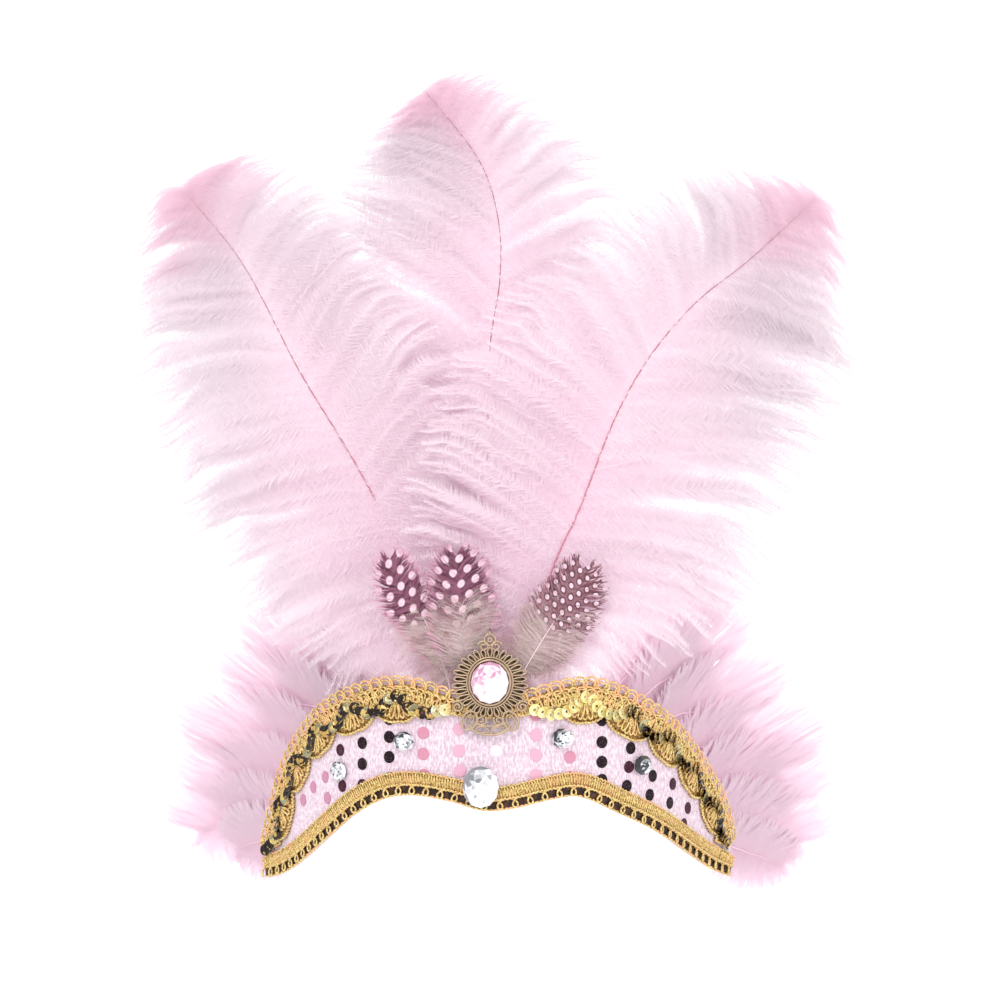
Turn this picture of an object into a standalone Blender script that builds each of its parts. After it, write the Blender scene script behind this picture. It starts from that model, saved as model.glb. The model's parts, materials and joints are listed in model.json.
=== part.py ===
"""A carnival feather headdress: a trimmed band that bends round the brow and carries its feathers.

Metres, +Z up. X runs across the brow, -Y is the front and +Y runs back over the head. The origin
is on the band's inner face at the middle of the brow, level with the band's lower edge there.
The band and its trimmings are drawn flat, as (along, up, out), and then bent round the brow.
"""

import math

import bmesh
import bpy
from mathutils import Vector
from mathutils.geometry import delaunay_2d_cdt

# Clearance between pieces that touch
GAP = 0.0003

# The band
BROW_RADIUS = 0.087
TEMPLE_TURN = math.radians(58.0)
BAND_HALF_LENGTH = 0.141
BAND_RISE = 0.054
BAND_WALL = 0.0025
END_ROUNDING = 0.006
BAND_STATIONS = 48

# The gold braids
BRAID_WALL = 0.0018
UPPER_BRAID_WIDTH = 0.0110
FAN_DEPTH = 0.0075
FAN_PITCH = 0.027
PICOT_PITCH = 0.0052
PICOT_HEIGHT = 0.0026
LOWER_BRAID_WIDTH = 0.0095
LOOP_DEPTH = 0.0034
LOOP_PITCH = 0.0062

# The strings of cup sequins
SEQUIN_WIDTH = 0.0053
SEQUIN_PITCH = 0.0037
SEQUIN_WALL = 0.0014
SEQUIN_INSET = 0.0100
SEQUIN_SWING = 0.0034

# The brooch, its stone and the stones on the band
BROOCH_ALONG = -0.0032
BROOCH_UP = 0.0535
BROOCH_WALL = 0.0014
BROOCH_HALF_WIDTH = 0.0146
BROOCH_HALF_HEIGHT = 0.0142
BROOCH_PETALS = 22
BEZEL_HEIGHT = 0.0016
BEZEL_WALL = 0.0009
BROOCH_STONE_WIDTH = 0.0146
BROOCH_STONE_HEIGHT = 0.0177
BROOCH_STONE_DEPTH = 0.0046
BROW_STONE_WIDTH = 0.0143
BROW_STONE_HEIGHT = 0.0177
BROW_STONE_DEPTH = 0.0045
SIDE_STONE_WIDTH = 0.0098
SIDE_STONE_HEIGHT = 0.0086
SIDE_STONE_DEPTH = 0.0032

# The feathers
QUILL_WIDTH = 0.0022
QUILL_SPACING = 0.0058
PLUME_REACH = 0.28
PLUME_FULLNESS = 0.008
PLUME_DROOP = 0.004
PLUME_CURL = 0.016
PLUME_CLEARANCE = 0.0015
SPOTTED_REACH = 0.073
SPOTTED_HALF_WIDTH = 0.0135
SIDE_REACH = 0.1
SIDE_HALF_WIDTH = 0.023
SIDE_FLARE = 0.050
SIDE_TILT = 0.21
VANE_WALL = 0.0009

# The band's edges: along as a share of BAND_HALF_LENGTH, up as a share of BAND_RISE
UPPER_EDGE = [
    (-1.00, -0.52),
    (-0.95, -0.20),
    (-0.86, 0.24),
    (-0.70, 0.62),
    (-0.53, 0.85),
    (-0.36, 0.98),
    (-0.25, 0.99),
    (-0.11, 0.89),
    (0.04, 0.88),
    (0.20, 0.98),
    (0.30, 0.98),
    (0.44, 0.85),
    (0.62, 0.61),
    (0.79, 0.30),
    (0.91, 0.00),
    (0.97, -0.24),
    (1.00, -0.50),
]
LOWER_EDGE = [
    (-1.00, -0.68),
    (-0.89, -0.63),
    (-0.78, -0.53),
    (-0.58, -0.26),
    (-0.45, -0.05),
    (-0.34, 0.08),
    (-0.25, 0.11),
    (-0.14, 0.07),
    (-0.04, 0.00),
    (0.05, 0.02),
    (0.15, 0.08),
    (0.24, 0.10),
    (0.37, -0.04),
    (0.50, -0.18),
    (0.68, -0.39),
    (0.86, -0.58),
    (1.00, -0.68),
]

# The shafts of the plumes, from the quill's foot: across and up as shares of PLUME_REACH
LEFT_SHAFT = [
    (0.0, 0.0),
    (-0.004, 0.086),
    (-0.059, 0.199),
    (-0.180, 0.424),
    (-0.271, 0.575),
    (-0.354, 0.734),
    (-0.438, 0.840),
]
MIDDLE_SHAFT = [
    (0.0, 0.0),
    (0.0, 0.090),
    (-0.004, 0.320),
    (-0.002, 0.593),
    (0.014, 0.714),
    (0.012, 0.806),
    (-0.018, 0.897),
    (-0.097, 0.996),
]
RIGHT_SHAFT = [
    (0.0, 0.0),
    (0.010, 0.093),
    (0.073, 0.274),
    (0.114, 0.364),
    (0.167, 0.500),
    (0.220, 0.594),
    (0.290, 0.676),
    (0.368, 0.738),
    (0.464, 0.826),
]

# The vanes of the plumes: place as a share of the shaft's length, the barbs on the left and the
# right as shares of PLUME_REACH, and how many degrees they lean towards the tip on each side
LEFT_VANE = [
    (0.12, 0.02, 0.02, 8, 8),
    (0.22, 0.21, 0.17, 20, 20),
    (0.35, 0.26, 0.21, 24, 26),
    (0.50, 0.275, 0.22, 27, 32),
    (0.67, 0.24, 0.215, 33, 38),
    (0.86, 0.155, 0.155, 46, 38),
    (0.95, 0.085, 0.11, 66, 44),
    (1.00, 0.035, 0.04, 82, 60),
]
MIDDLE_VANE = [
    (0.12, 0.02, 0.02, 8, 8),
    (0.20, 0.17, 0.17, 15, 15),
    (0.31, 0.27, 0.24, 20, 20),
    (0.44, 0.31, 0.25, 26, 26),
    (0.575, 0.315, 0.225, 34, 33),
    (0.69, 0.285, 0.205, 40, 36),
    (0.78, 0.235, 0.19, 50, 38),
    (0.88, 0.145, 0.12, 66, 42),
    (0.95, 0.07, 0.07, 78, 52),
    (1.00, 0.025, 0.03, 84, 66),
]
RIGHT_VANE = [
    (0.12, 0.02, 0.02, 8, 8),
    (0.19, 0.15, 0.17, 15, 15),
    (0.29, 0.24, 0.28, 20, 20),
    (0.39, 0.265, 0.305, 23, 23),
    (0.54, 0.255, 0.31, 29, 29),
    (0.65, 0.20, 0.295, 38, 36),
    (0.77, 0.185, 0.235, 44, 44),
    (0.88, 0.115, 0.135, 50, 52),
    (0.95, 0.06, 0.07, 58, 64),
    (1.00, 0.025, 0.03, 68, 78),
]

# The plumes: name, quill's place in the row of quills, shaft, vane, and its layer from the front
PLUMES = [
    ("plume_right", 1, RIGHT_SHAFT, RIGHT_VANE, 0),
    ("plume_left", -1, LEFT_SHAFT, LEFT_VANE, 1),
    ("plume_middle", 0, MIDDLE_SHAFT, MIDDLE_VANE, 2),
]

# The spotted feathers: name, quill's place in the row, shaft as shares of SPOTTED_REACH, width
# as a share of SPOTTED_HALF_WIDTH, and how many steps it stands forward
SPOTTED_FEATHERS = [
    (
        "spotted_feather_1",
        -3,
        [(0.0, 0.0), (0.0, 0.20), (-0.13, 0.55), (-0.27, 0.73), (-0.33, 0.90)],
        0.80,
        0,
    ),
    (
        "spotted_feather_2",
        -2,
        [(0.0, 0.0), (0.0, 0.20), (0.0, 0.52), (-0.01, 0.74), (-0.03, 0.91)],
        1.0,
        1,
    ),
    (
        "spotted_feather_3",
        2,
        [(0.0, 0.0), (0.0, 0.20), (0.18, 0.52), (0.30, 0.68), (0.36, 0.84)],
        1.08,
        1,
    ),
]
SPOTTED_VANE = [
    (0.26, 0.08, 0.08, 10, 10),
    (0.40, 0.80, 0.80, 18, 18),
    (0.55, 1.0, 1.0, 24, 24),
    (0.72, 1.0, 1.0, 30, 30),
    (0.86, 0.92, 0.92, 42, 42),
    (0.95, 0.72, 0.72, 58, 58),
    (1.00, 0.50, 0.50, 72, 72),
]

# The side feathers, from the top down: the quill foot's place along and up as shares of
# BAND_HALF_LENGTH and BAND_RISE, the reach along and up as shares of SIDE_REACH, the half
# width as a share of SIDE_HALF_WIDTH, and the bow of the shaft as a share of its length
RIGHT_SIDE_FEATHERS = [
    (0.32, 0.72, 0.57, 0.31, 1.15, 0.08),
    (0.42, 0.66, 0.57, 0.20, 1.10, 0.07),
    (0.53, 0.54, 0.69, 0.05, 1.05, 0.07),
    (0.63, 0.38, 0.83, -0.10, 1.0, 0.06),
    (0.73, 0.17, 0.79, -0.15, 0.95, 0.05),
    (0.80, -0.08, 0.77, -0.20, 0.85, 0.03),
    (0.85, -0.33, 0.66, -0.16, 0.62, 0.02),
]
LEFT_SIDE_FEATHERS = [
    (0.32, 0.74, 0.46, 0.26, 1.15, 0.08),
    (0.42, 0.68, 0.59, 0.18, 1.10, 0.07),
    (0.53, 0.56, 0.64, 0.09, 1.00, 0.07),
    (0.63, 0.40, 0.78, -0.05, 0.98, 0.06),
    (0.73, 0.18, 0.75, -0.13, 0.92, 0.05),
    (0.80, -0.08, 0.76, -0.15, 0.82, 0.03),
    (0.85, -0.33, 0.53, -0.08, 0.70, 0.02),
]
SIDE_VANE = [
    (0.10, 0.06, 0.06, 10, 10),
    (0.22, 0.50, 0.50, 20, 20),
    (0.38, 0.86, 0.86, 26, 26),
    (0.58, 1.0, 1.0, 30, 30),
    (0.76, 1.0, 1.0, 36, 36),
    (0.88, 0.86, 0.86, 48, 48),
    (0.96, 0.66, 0.66, 62, 62),
    (1.00, 0.50, 0.50, 74, 74),
]

# The stones on the band: name, along as a share of BAND_HALF_LENGTH, up as a share of BAND_RISE
SIDE_STONES = [
    ("side_stone_1", -0.525, 0.26),
    ("side_stone_2", -0.28, 0.52),
    ("side_stone_3", 0.188, 0.55),
    ("side_stone_4", 0.462, 0.315),
]
BROW_STONE_ALONG = -0.0068
BROW_STONE_UP = 0.0097


def clear_scene():
    for old in list(bpy.data.objects):
        bpy.data.objects.remove(old)


def finish(name, colour, roughness, metallic):
    """A plain finish for one piece."""
    material = bpy.data.materials.new(name)
    material.use_nodes = True
    shader = material.node_tree.nodes["Principled BSDF"]
    shader.inputs["Base Color"].default_value = (*colour, 1.0)
    shader.inputs["Roughness"].default_value = roughness
    shader.inputs["Metallic"].default_value = metallic
    return material


def mix(a, b, share):
    return a + (b - a) * share


def ease(share):
    """A smooth step from 0 to 1."""
    share = max(0.0, min(1.0, share))
    return share * share * (3.0 - 2.0 * share)


def slope(rows, column, k):
    low, high = rows[max(0, k - 1)], rows[min(len(rows) - 1, k + 1)]
    return (high[column] - low[column]) / (high[0] - low[0])


def smooth(rows, column, at):
    """A column's value at a place in the first column, on a smooth curve through the rows."""
    k = 0
    while k < len(rows) - 2 and at > rows[k + 1][0]:
        k += 1
    here, there = rows[k], rows[k + 1]
    step = there[0] - here[0]
    t = max(0.0, min(1.0, (at - here[0]) / step))
    bend_out = slope(rows, column, k) * step
    bend_in = slope(rows, column, k + 1) * step
    straight = mix(here[column], there[column], t * t * (3 - 2 * t))
    return straight + bend_out * t * (1 - t) ** 2 - bend_in * t * t * (1 - t)


def rounded_path(points, pieces=12):
    """A smooth curve through flat points, as many short straight steps."""
    path = []
    for k in range(len(points) - 1):
        before = points[max(0, k - 1)]
        start, end = points[k], points[k + 1]
        after = points[min(len(points) - 1, k + 2)]
        for i in range(pieces):
            t = i / pieces
            path.append(
                0.5
                * (
                    2 * start
                    + (end - before) * t
                    + (2 * before - 5 * start + 4 * end - after) * t * t
                    + (3 * start - before - 3 * end + after) * t**3
                )
            )
    path.append(points[-1])
    return path


def walk(path, shares):
    """Points of a flat path at shares of its length, each with the direction of travel."""
    lengths = [0.0]
    for a, b in zip(path, path[1:]):
        lengths.append(lengths[-1] + (b - a).length)
    found = []
    k = 0
    for share in shares:
        target = share * lengths[-1]
        while k < len(path) - 2 and lengths[k + 1] < target:
            k += 1
        step = path[k + 1] - path[k]
        point = path[k] + step * ((target - lengths[k]) / step.length)
        found.append((point, step.normalized()))
    return found, lengths[-1]


def on_brow(along, up, out):
    """A flat place bent round the brow: along the band, up, and out from its inner face."""
    turn = max(-TEMPLE_TURN, min(TEMPLE_TURN, along / BROW_RADIUS))
    straight = along - turn * BROW_RADIUS
    x = (BROW_RADIUS + out) * math.sin(turn) + straight * math.cos(turn)
    y = BROW_RADIUS - (BROW_RADIUS + out) * math.cos(turn)
    return Vector((x, y + abs(straight) * math.sin(abs(turn)), up))


def upper_edge(along):
    return BAND_RISE * smooth(UPPER_EDGE, 1, along / BAND_HALF_LENGTH)


def lower_edge(along):
    return BAND_RISE * smooth(LOWER_EDGE, 1, along / BAND_HALF_LENGTH)


def edge_path(edge, reach):
    """One edge of the flat band as a path from left to right, within a share of its length."""
    steps = 400
    path = []
    for k in range(steps + 1):
        along = BAND_HALF_LENGTH * reach * (2 * k / steps - 1)
        path.append(Vector((along, edge(along))))
    return path


def even(count):
    return [k / count for k in range(count + 1)]


def add_object(name, points, faces, material, smooth_shading=True):
    mesh = bpy.data.meshes.new(name)
    mesh.from_pydata([tuple(p) for p in points], [], faces)
    work = bmesh.new()
    work.from_mesh(mesh)
    bmesh.ops.recalc_face_normals(work, faces=work.faces)
    work.to_mesh(mesh)
    work.free()
    mesh.materials.append(material)
    if smooth_shading:
        mesh.shade_smooth()
        mesh.set_sharp_from_angle(angle=math.radians(40.0))
    obj = bpy.data.objects.new(name, mesh)
    bpy.context.scene.collection.objects.link(obj)
    return obj


def loft(name, sections, material):
    """A closed solid through sections, each a front row and a back row with shared ends."""
    points, faces = [], []
    rings = []
    for front, back in sections:
        first = len(points)
        points.extend(front)
        points.extend(back)
        front_ids = list(range(first, first + len(front)))
        back_ids = list(range(first + len(front), len(points)))
        rings.append((front_ids, [front_ids[0], *back_ids, front_ids[-1]]))
    for (front_a, back_a), (front_b, back_b) in zip(rings, rings[1:]):
        # The front and the back are cut along the same diagonals, so a thin vane stays even
        for a, b, flip in ((front_a, front_b, False), (back_a, back_b, True)):
            for i in range(len(a) - 1):
                halves = [(a[i], a[i + 1], b[i + 1]), (a[i], b[i + 1], b[i])]
                faces.extend(half[::-1] if flip else half for half in halves)
    for front, back in (rings[0], rings[-1]):
        last = len(front) - 1
        for i in range(last):
            corners = [front[i], front[i + 1], back[i + 1], back[i]]
            faces.append(tuple(dict.fromkeys(corners)))
    return add_object(name, points, faces, material)


def strip(name, stations, material):
    """A closed flat strip on the band: each station is its corners, going round the section."""
    points, faces = [], []
    size = len(stations[0])
    for corners in stations:
        points.extend(corners)
    for k in range(len(stations) - 1):
        for i in range(size):
            j = (i + 1) % size
            faces.append(
                (k * size + i, k * size + j, (k + 1) * size + j, (k + 1) * size + i)
            )
    faces.append(tuple(range(size)))
    faces.append(tuple(range(len(points) - size, len(points))))
    return add_object(name, points, faces, material)


def make_band():
    fabric = finish("band", (0.80, 0.66, 0.76), 0.85, 0.0)
    stations = []
    for k in range(BAND_STATIONS + 1):
        along = BAND_HALF_LENGTH * (2 * k / BAND_STATIONS - 1)
        low, high = lower_edge(along), upper_edge(along)
        into_end = max(0.0, abs(along) - (BAND_HALF_LENGTH - END_ROUNDING)) / END_ROUNDING
        pinch = 0.5 * (high - low) * (1 - math.sqrt(1 - 0.8 * into_end**2))
        low, high = low + pinch, high - pinch
        stations.append(
            [
                on_brow(along, low, 0.0),
                on_brow(along, low, BAND_WALL),
                on_brow(along, high, BAND_WALL),
                on_brow(along, high, 0.0),
            ]
        )
    strip("band", stations, fabric)


def room_below(point, inward):
    """How far a braid on the upper edge may reach in before it meets the lower braid."""
    step = 0.0005
    reach = 0.0
    while reach < UPPER_BRAID_WIDTH + FAN_DEPTH:
        probe = point + inward * (reach + step)
        if probe.y < lower_edge(probe.x) + 1.25 * LOWER_BRAID_WIDTH:
            break
        reach += step
    return reach


def fan_phase(from_middle):
    """Where a place on the upper edge lies in its fan of braid, from 0 to 1."""
    return (from_middle / FAN_PITCH) % 1.0


def make_upper_braid():
    gold = finish("upper_braid", (0.66, 0.44, 0.16), 0.35, 0.6)
    path = edge_path(upper_edge, 0.985)
    length = walk(path, [1.0])[1]
    picots = round(length / PICOT_PITCH)
    back, front = BAND_WALL + GAP, BAND_WALL + GAP + BRAID_WALL
    stations = []
    for k, (point, along) in enumerate(walk(path, even(2 * picots))[0]):
        inward = Vector((along.y, -along.x))
        in_fan = fan_phase(length * (k / (2 * picots) - 0.5))
        depth = UPPER_BRAID_WIDTH + FAN_DEPTH * math.sqrt(1 - (2 * in_fan - 1) ** 2)
        depth = max(0.3 * UPPER_BRAID_WIDTH, min(depth, room_below(point, inward)))
        top = point - inward * (PICOT_HEIGHT if k % 2 else 0.1 * PICOT_HEIGHT)
        low = point + inward * depth
        stations.append(
            [
                on_brow(low.x, low.y, back),
                on_brow(low.x, low.y, front),
                on_brow(top.x, top.y, front),
                on_brow(top.x, top.y, back),
            ]
        )
    strip("upper_braid", stations, gold)


def make_lower_braid():
    gold = finish("lower_braid", (0.66, 0.44, 0.16), 0.35, 0.6)
    path = edge_path(lower_edge, 0.975)
    length = walk(path, [1.0])[1]
    loops = round(length / LOOP_PITCH)
    back = BAND_WALL + GAP
    loop_front, cord_front = back + 0.5 * BRAID_WALL, back + BRAID_WALL
    stations = []
    for k, (point, along) in enumerate(walk(path, even(2 * loops))[0]):
        inward = Vector((-along.y, along.x))
        foot = 0.05 * LOOP_DEPTH if k % 2 else 0.45 * LOOP_DEPTH
        near_end = min(k, 2 * loops - k) / 4
        width = LOWER_BRAID_WIDTH * (0.8 + 0.2 * min(1.0, near_end))
        section = [
            (foot, back),
            (foot, loop_front),
            (LOOP_DEPTH, loop_front),
            (1.15 * LOOP_DEPTH, cord_front),
            (width, cord_front),
            (width, back),
        ]
        corners = []
        for reach, out in section:
            place = point + inward * reach
            corners.append(on_brow(place.x, place.y, out))
        stations.append(corners)
    strip("lower_braid", stations, gold)


def sequin_line(from_along, to_along):
    """The flat path of a sequin string: it swings in and out once for each fan of the braid."""
    edge = edge_path(upper_edge, 0.985)
    length = walk(edge, [1.0])[1]
    steps = 600
    path = []
    for k, (point, along) in enumerate(walk(edge, even(steps))[0]):
        if not from_along <= point.x <= to_along:
            continue
        inward = Vector((along.y, -along.x))
        in_fan = fan_phase(length * (k / steps - 0.5))
        swing = SEQUIN_SWING * math.cos(2 * math.pi * in_fan)
        inset = min(SEQUIN_INSET + swing, 0.5 * (room_below(point, inward) + SEQUIN_WIDTH))
        path.append(point + inward * inset)
    return path


def make_sequin_string(name, from_along, to_along):
    """Overlapping cup sequins fused into one ribbon: wide at each sequin, waisted between them."""
    bronze = finish(name, (0.30, 0.20, 0.07), 0.2, 0.9)
    path = sequin_line(from_along, to_along)
    length = walk(path, [1.0])[1]
    sequins = round(length / SEQUIN_PITCH)
    waist = math.sqrt(SEQUIN_WIDTH**2 - SEQUIN_PITCH**2) / SEQUIN_WIDTH
    back = BAND_WALL + 2 * GAP + BRAID_WALL
    stations = []
    for k, (point, along) in enumerate(walk(path, even(2 * sequins))[0]):
        across = Vector((-along.y, along.x))
        in_middle = k % 2
        half = 0.5 * SEQUIN_WIDTH * (1.0 if in_middle else waist)
        front = back + SEQUIN_WALL * (1.0 if in_middle else 0.65)
        corners = []
        for side, out in ((-1, back), (-1, front), (1, front), (1, back)):
            place = point + across * (side * half)
            corners.append(on_brow(place.x, place.y, out))
        stations.append(corners)
    strip(name, stations, bronze)


def oval(centre, half_width, half_height, sides, tilt=0.0):
    """The corners of a flat oval, anticlockwise."""
    corners = []
    for k in range(sides):
        angle = 2 * math.pi * k / sides
        x, y = half_width * math.cos(angle), half_height * math.sin(angle)
        turned = Vector(
            (x * math.cos(tilt) - y * math.sin(tilt), x * math.sin(tilt) + y * math.cos(tilt))
        )
        corners.append(centre + turned)
    return corners


def ring_place(angle, share):
    """A place in the brooch's ring of petals, from the bezel's foot, 0, to the petal tips, 1."""
    margin = GAP + BEZEL_WALL
    inner = Vector(
        (
            (0.5 * BROOCH_STONE_WIDTH + 1.5 * margin) * math.cos(angle),
            (0.5 * BROOCH_STONE_HEIGHT + 1.5 * margin) * math.sin(angle),
        )
    )
    outer = Vector(
        (BROOCH_HALF_WIDTH * math.cos(angle), BROOCH_HALF_HEIGHT * math.sin(angle))
    )
    return inner.lerp(outer, share)


def brooch_outlines():
    """The brooch's flat outlines: what is metal, and what is cut through."""
    metal, gaps = [], []
    turn = 2 * math.pi / BROOCH_PETALS
    petal_ring = []
    for k in range(BROOCH_PETALS):
        middle = (k + 0.5) * turn
        petal_ring.append(ring_place(middle - 0.5 * turn, 0.88))
        petal_ring.append(ring_place(middle, 1.02))
        gaps.append(
            [
                ring_place(middle, 0.14),
                ring_place(middle + 0.27 * turn, 0.66),
                ring_place(middle, 0.86),
                ring_place(middle - 0.27 * turn, 0.66),
            ]
        )
    metal.append(petal_ring)
    width, height = BROOCH_HALF_WIDTH, BROOCH_HALF_HEIGHT
    # Each loop: across, up, half width, half height, tilt in degrees, and its opening's share
    loops = [
        (-0.86, -0.70, 0.15, 0.15, 0, 0.5),
        (0.86, -0.70, 0.15, 0.15, 0, 0.5),
        (-0.52, -1.04, 0.20, 0.27, -25, 0.55),
        (0.52, -1.04, 0.20, 0.27, 25, 0.55),
        (-0.17, -1.07, 0.15, 0.15, 0, 0.5),
        (0.17, -1.07, 0.15, 0.15, 0, 0.5),
        (-0.17, 1.07, 0.15, 0.15, 0, 0.5),
        (0.17, 1.07, 0.15, 0.15, 0, 0.5),
        (0.0, 1.26, 0.16, 0.18, 0, 0.5),
    ]
    for across, up, half_width, half_height, tilt, opening in loops:
        centre = Vector((across * width, up * height))
        tilt = math.radians(tilt)
        size = (half_width * width, half_height * height)
        metal.append(oval(centre, *size, 8, tilt))
        inner = (size[0] * opening, size[1] * opening)
        gaps.append(oval(centre, *inner, 6, tilt))
    metal.append(oval(Vector((0.0, 1.50 * height)), 0.05 * width, 0.13 * height, 6))
    metal.append(oval(Vector((0.0, -1.27 * height)), 0.48 * width, 0.20 * height, 14))
    for side in (-1, 1):
        slot_centre = Vector((side * 0.20 * width, -1.30 * height))
        gaps.append(oval(slot_centre, 0.13 * width, 0.07 * height, 6))
    return metal, gaps


def brooch_front(place):
    """How far the brooch's front stands out: a raised bezel round the stone, else flat."""
    across = place.x / (0.5 * BROOCH_STONE_WIDTH + GAP)
    up = place.y / (0.5 * BROOCH_STONE_HEIGHT + GAP)
    reach = math.hypot(across, up)
    wall = BEZEL_WALL / (0.5 * BROOCH_STONE_WIDTH)
    on_bezel = 1.0 + 0.1 * wall < reach < 1.0 + 1.1 * wall
    return BROOCH_WALL + (BEZEL_HEIGHT if on_bezel else 0.0)


def bezel_ovals():
    """The bezel's four edges, from the stone's seat outwards."""
    half_width = 0.5 * BROOCH_STONE_WIDTH + GAP
    half_height = 0.5 * BROOCH_STONE_HEIGHT + GAP
    wall = BEZEL_WALL / (0.5 * BROOCH_STONE_WIDTH)
    rings = []
    for share in (0.0, 0.2, 1.0, 1.2):
        scale = 1.0 + share * wall
        rings.append(oval(Vector((0.0, 0.0)), half_width * scale, half_height * scale, 16))
    return rings


def inside(place, outline):
    """Whether a flat place lies inside an outline."""
    within = False
    for a, b in zip(outline, outline[1:] + outline[:1]):
        if (a.y > place.y) != (b.y > place.y):
            cross = a.x + (place.y - a.y) / (b.y - a.y) * (b.x - a.x)
            within ^= place.x < cross
    return within


def make_brooch():
    brass = finish("brooch", (0.36, 0.29, 0.18), 0.35, 1.0)
    metal, gaps = brooch_outlines()
    outlines = metal + gaps + bezel_ovals()
    flat = [corner for outline in outlines for corner in outline]
    edges, first = [], 0
    for outline in outlines:
        count = len(outline)
        edges.extend((first + i, first + (i + 1) % count) for i in range(count))
        first += count
    places, _, triangles, *_ = delaunay_2d_cdt(flat, edges, [], 0, 1e-7)
    kept = []
    for triangle in triangles:
        middle = sum((places[i] for i in triangle), Vector((0.0, 0.0))) / 3
        is_metal = any(inside(middle, outline) for outline in metal)
        is_gap = any(inside(middle, outline) for outline in gaps)
        if is_metal and not is_gap:
            kept.append(tuple(triangle))
    used = sorted({i for triangle in kept for i in triangle})
    number = {old: new for new, old in enumerate(used)}
    back = BAND_WALL + 2 * GAP + BRAID_WALL
    points = []
    for side in ("back", "front"):
        for i in used:
            out = back + (brooch_front(places[i]) if side == "front" else 0.0)
            points.append(
                on_brow(BROOCH_ALONG + places[i].x, BROOCH_UP + places[i].y, out)
            )
    count = len(used)
    faces = []
    sides = {}
    for triangle in kept:
        a, b, c = (number[i] for i in triangle)
        faces.append((c, b, a))
        faces.append((a + count, b + count, c + count))
        for start, end in ((a, b), (b, c), (c, a)):
            sides[start, end] = True
    for start, end in sides:
        if (end, start) not in sides:
            faces.append((start, end, end + count, start + count))
    add_object("brooch", points, faces, brass, smooth_shading=False)


def make_stone(name, along, up, back, size, sides, colour):
    """A cut oval stone: a flat back, a thin girdle, a crown of facets and a table."""
    width, height, depth = size
    crystal = finish(name, colour, 0.05, 0.0)
    # Each level: share of the outline, share of the depth, and a turn of half a facet or none
    levels = [(0.88, 0.0, 0), (1.0, 0.32, 0), (0.80, 0.74, 1), (0.52, 1.0, 0)]
    stations = []
    for share, rise, half_turn in levels:
        corners = []
        for k in range(sides):
            angle = 2 * math.pi * (k + 0.5 * half_turn) / sides
            across = 0.5 * width * share * math.cos(angle)
            height_here = 0.5 * height * share * math.sin(angle)
            corners.append(on_brow(along + across, up + height_here, back + rise * depth))
        stations.append(corners)
    return strip(name, stations, crystal)


def make_stones():
    on_band = BAND_WALL + 2 * GAP
    on_braid = BAND_WALL + 3 * GAP + BRAID_WALL
    make_stone(
        "brooch_stone",
        BROOCH_ALONG,
        BROOCH_UP,
        BAND_WALL + 3 * GAP + BRAID_WALL + BROOCH_WALL,
        (BROOCH_STONE_WIDTH, BROOCH_STONE_HEIGHT, BROOCH_STONE_DEPTH),
        12,
        (0.86, 0.45, 0.60),
    )
    make_stone(
        "brow_stone",
        BROW_STONE_ALONG,
        BROW_STONE_UP,
        on_braid,
        (BROW_STONE_WIDTH, BROW_STONE_HEIGHT, BROW_STONE_DEPTH),
        12,
        (0.86, 0.88, 0.90),
    )
    for name, along, up in SIDE_STONES:
        make_stone(
            name,
            along * BAND_HALF_LENGTH,
            up * BAND_RISE,
            on_band,
            (SIDE_STONE_WIDTH, SIDE_STONE_HEIGHT, SIDE_STONE_DEPTH),
            8,
            (0.78, 0.80, 0.83),
        )


def feather(name, shaft, vane, place, look, stations, lock, full=True):
    """A feather: its quill runs into a vane whose edge is cut into locks.

    shaft is its flat path; vane is rows of share, left, right and both leans, sized in metres;
    place(point, fold, share, out) gives the real place of a flat point; look is the finish,
    the vane's half thickness and the quill's half width; a full vane swells beside its shaft.
    """
    material, half_wall, quill = look
    path = rounded_path([Vector(p) for p in shaft])
    start = vane[0][0]
    sections = []
    for k, (point, forward) in enumerate(walk(path, even(stations))[0]):
        share = k / stations
        left_hand = Vector((-forward.y, forward.x))
        barbs = [(quill, 0.0), (quill, 0.0)]
        if share >= start:
            trim = 1.0 - lock * (k % 2)
            barbs = [
                (
                    max(quill, smooth(vane, 1 + hand, share) * trim),
                    math.radians(smooth(vane, 3 + hand, share)),
                )
                for hand in (0, 1)
            ]
        grown = ease((share - start) / 0.18)
        soft = max(0.35 * quill, half_wall * grown * (1.0 - 0.45 * ease(share * 2 - 1)))
        front, back = [], []
        for side, (reach, lean) in zip((1, -1), barbs):
            barb = left_hand * (side * math.cos(lean)) + forward * math.sin(lean)
            edge = point + barb * reach
            middle = point + barb * (0.55 * max(0.0, reach - quill) + 0.9 * quill)
            beside = point + left_hand * (side * 0.5 * quill)
            rise = soft * (1.0 + lock * (1 - 2 * (k % 2)))
            fold = side * reach
            row = [place(edge, fold, share, 0.0), place(beside, 0.0, share, 0.8 * quill)]
            under = [place(beside, 0.0, share, -0.8 * quill)]
            if full:
                row.insert(1, place(middle, 0.55 * fold, share, rise))
                under.insert(0, place(middle, 0.55 * fold, share, -rise))
            if side == 1:
                front.extend(row)
                back.extend(under)
            else:
                front.extend(reversed(row))
                back.extend(reversed(under))
        sections.append((front, back))
    return loft(name, sections, material)


def sized_vane(vane, size):
    """A vane's rows with its barbs in metres."""
    return [(at, left * size, right * size, *leans) for at, left, right, *leans in vane]


def quill_place(number):
    """Where a quill's foot stands behind the band, in the row under the brooch."""
    return BROOCH_ALONG + number * QUILL_SPACING


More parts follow.
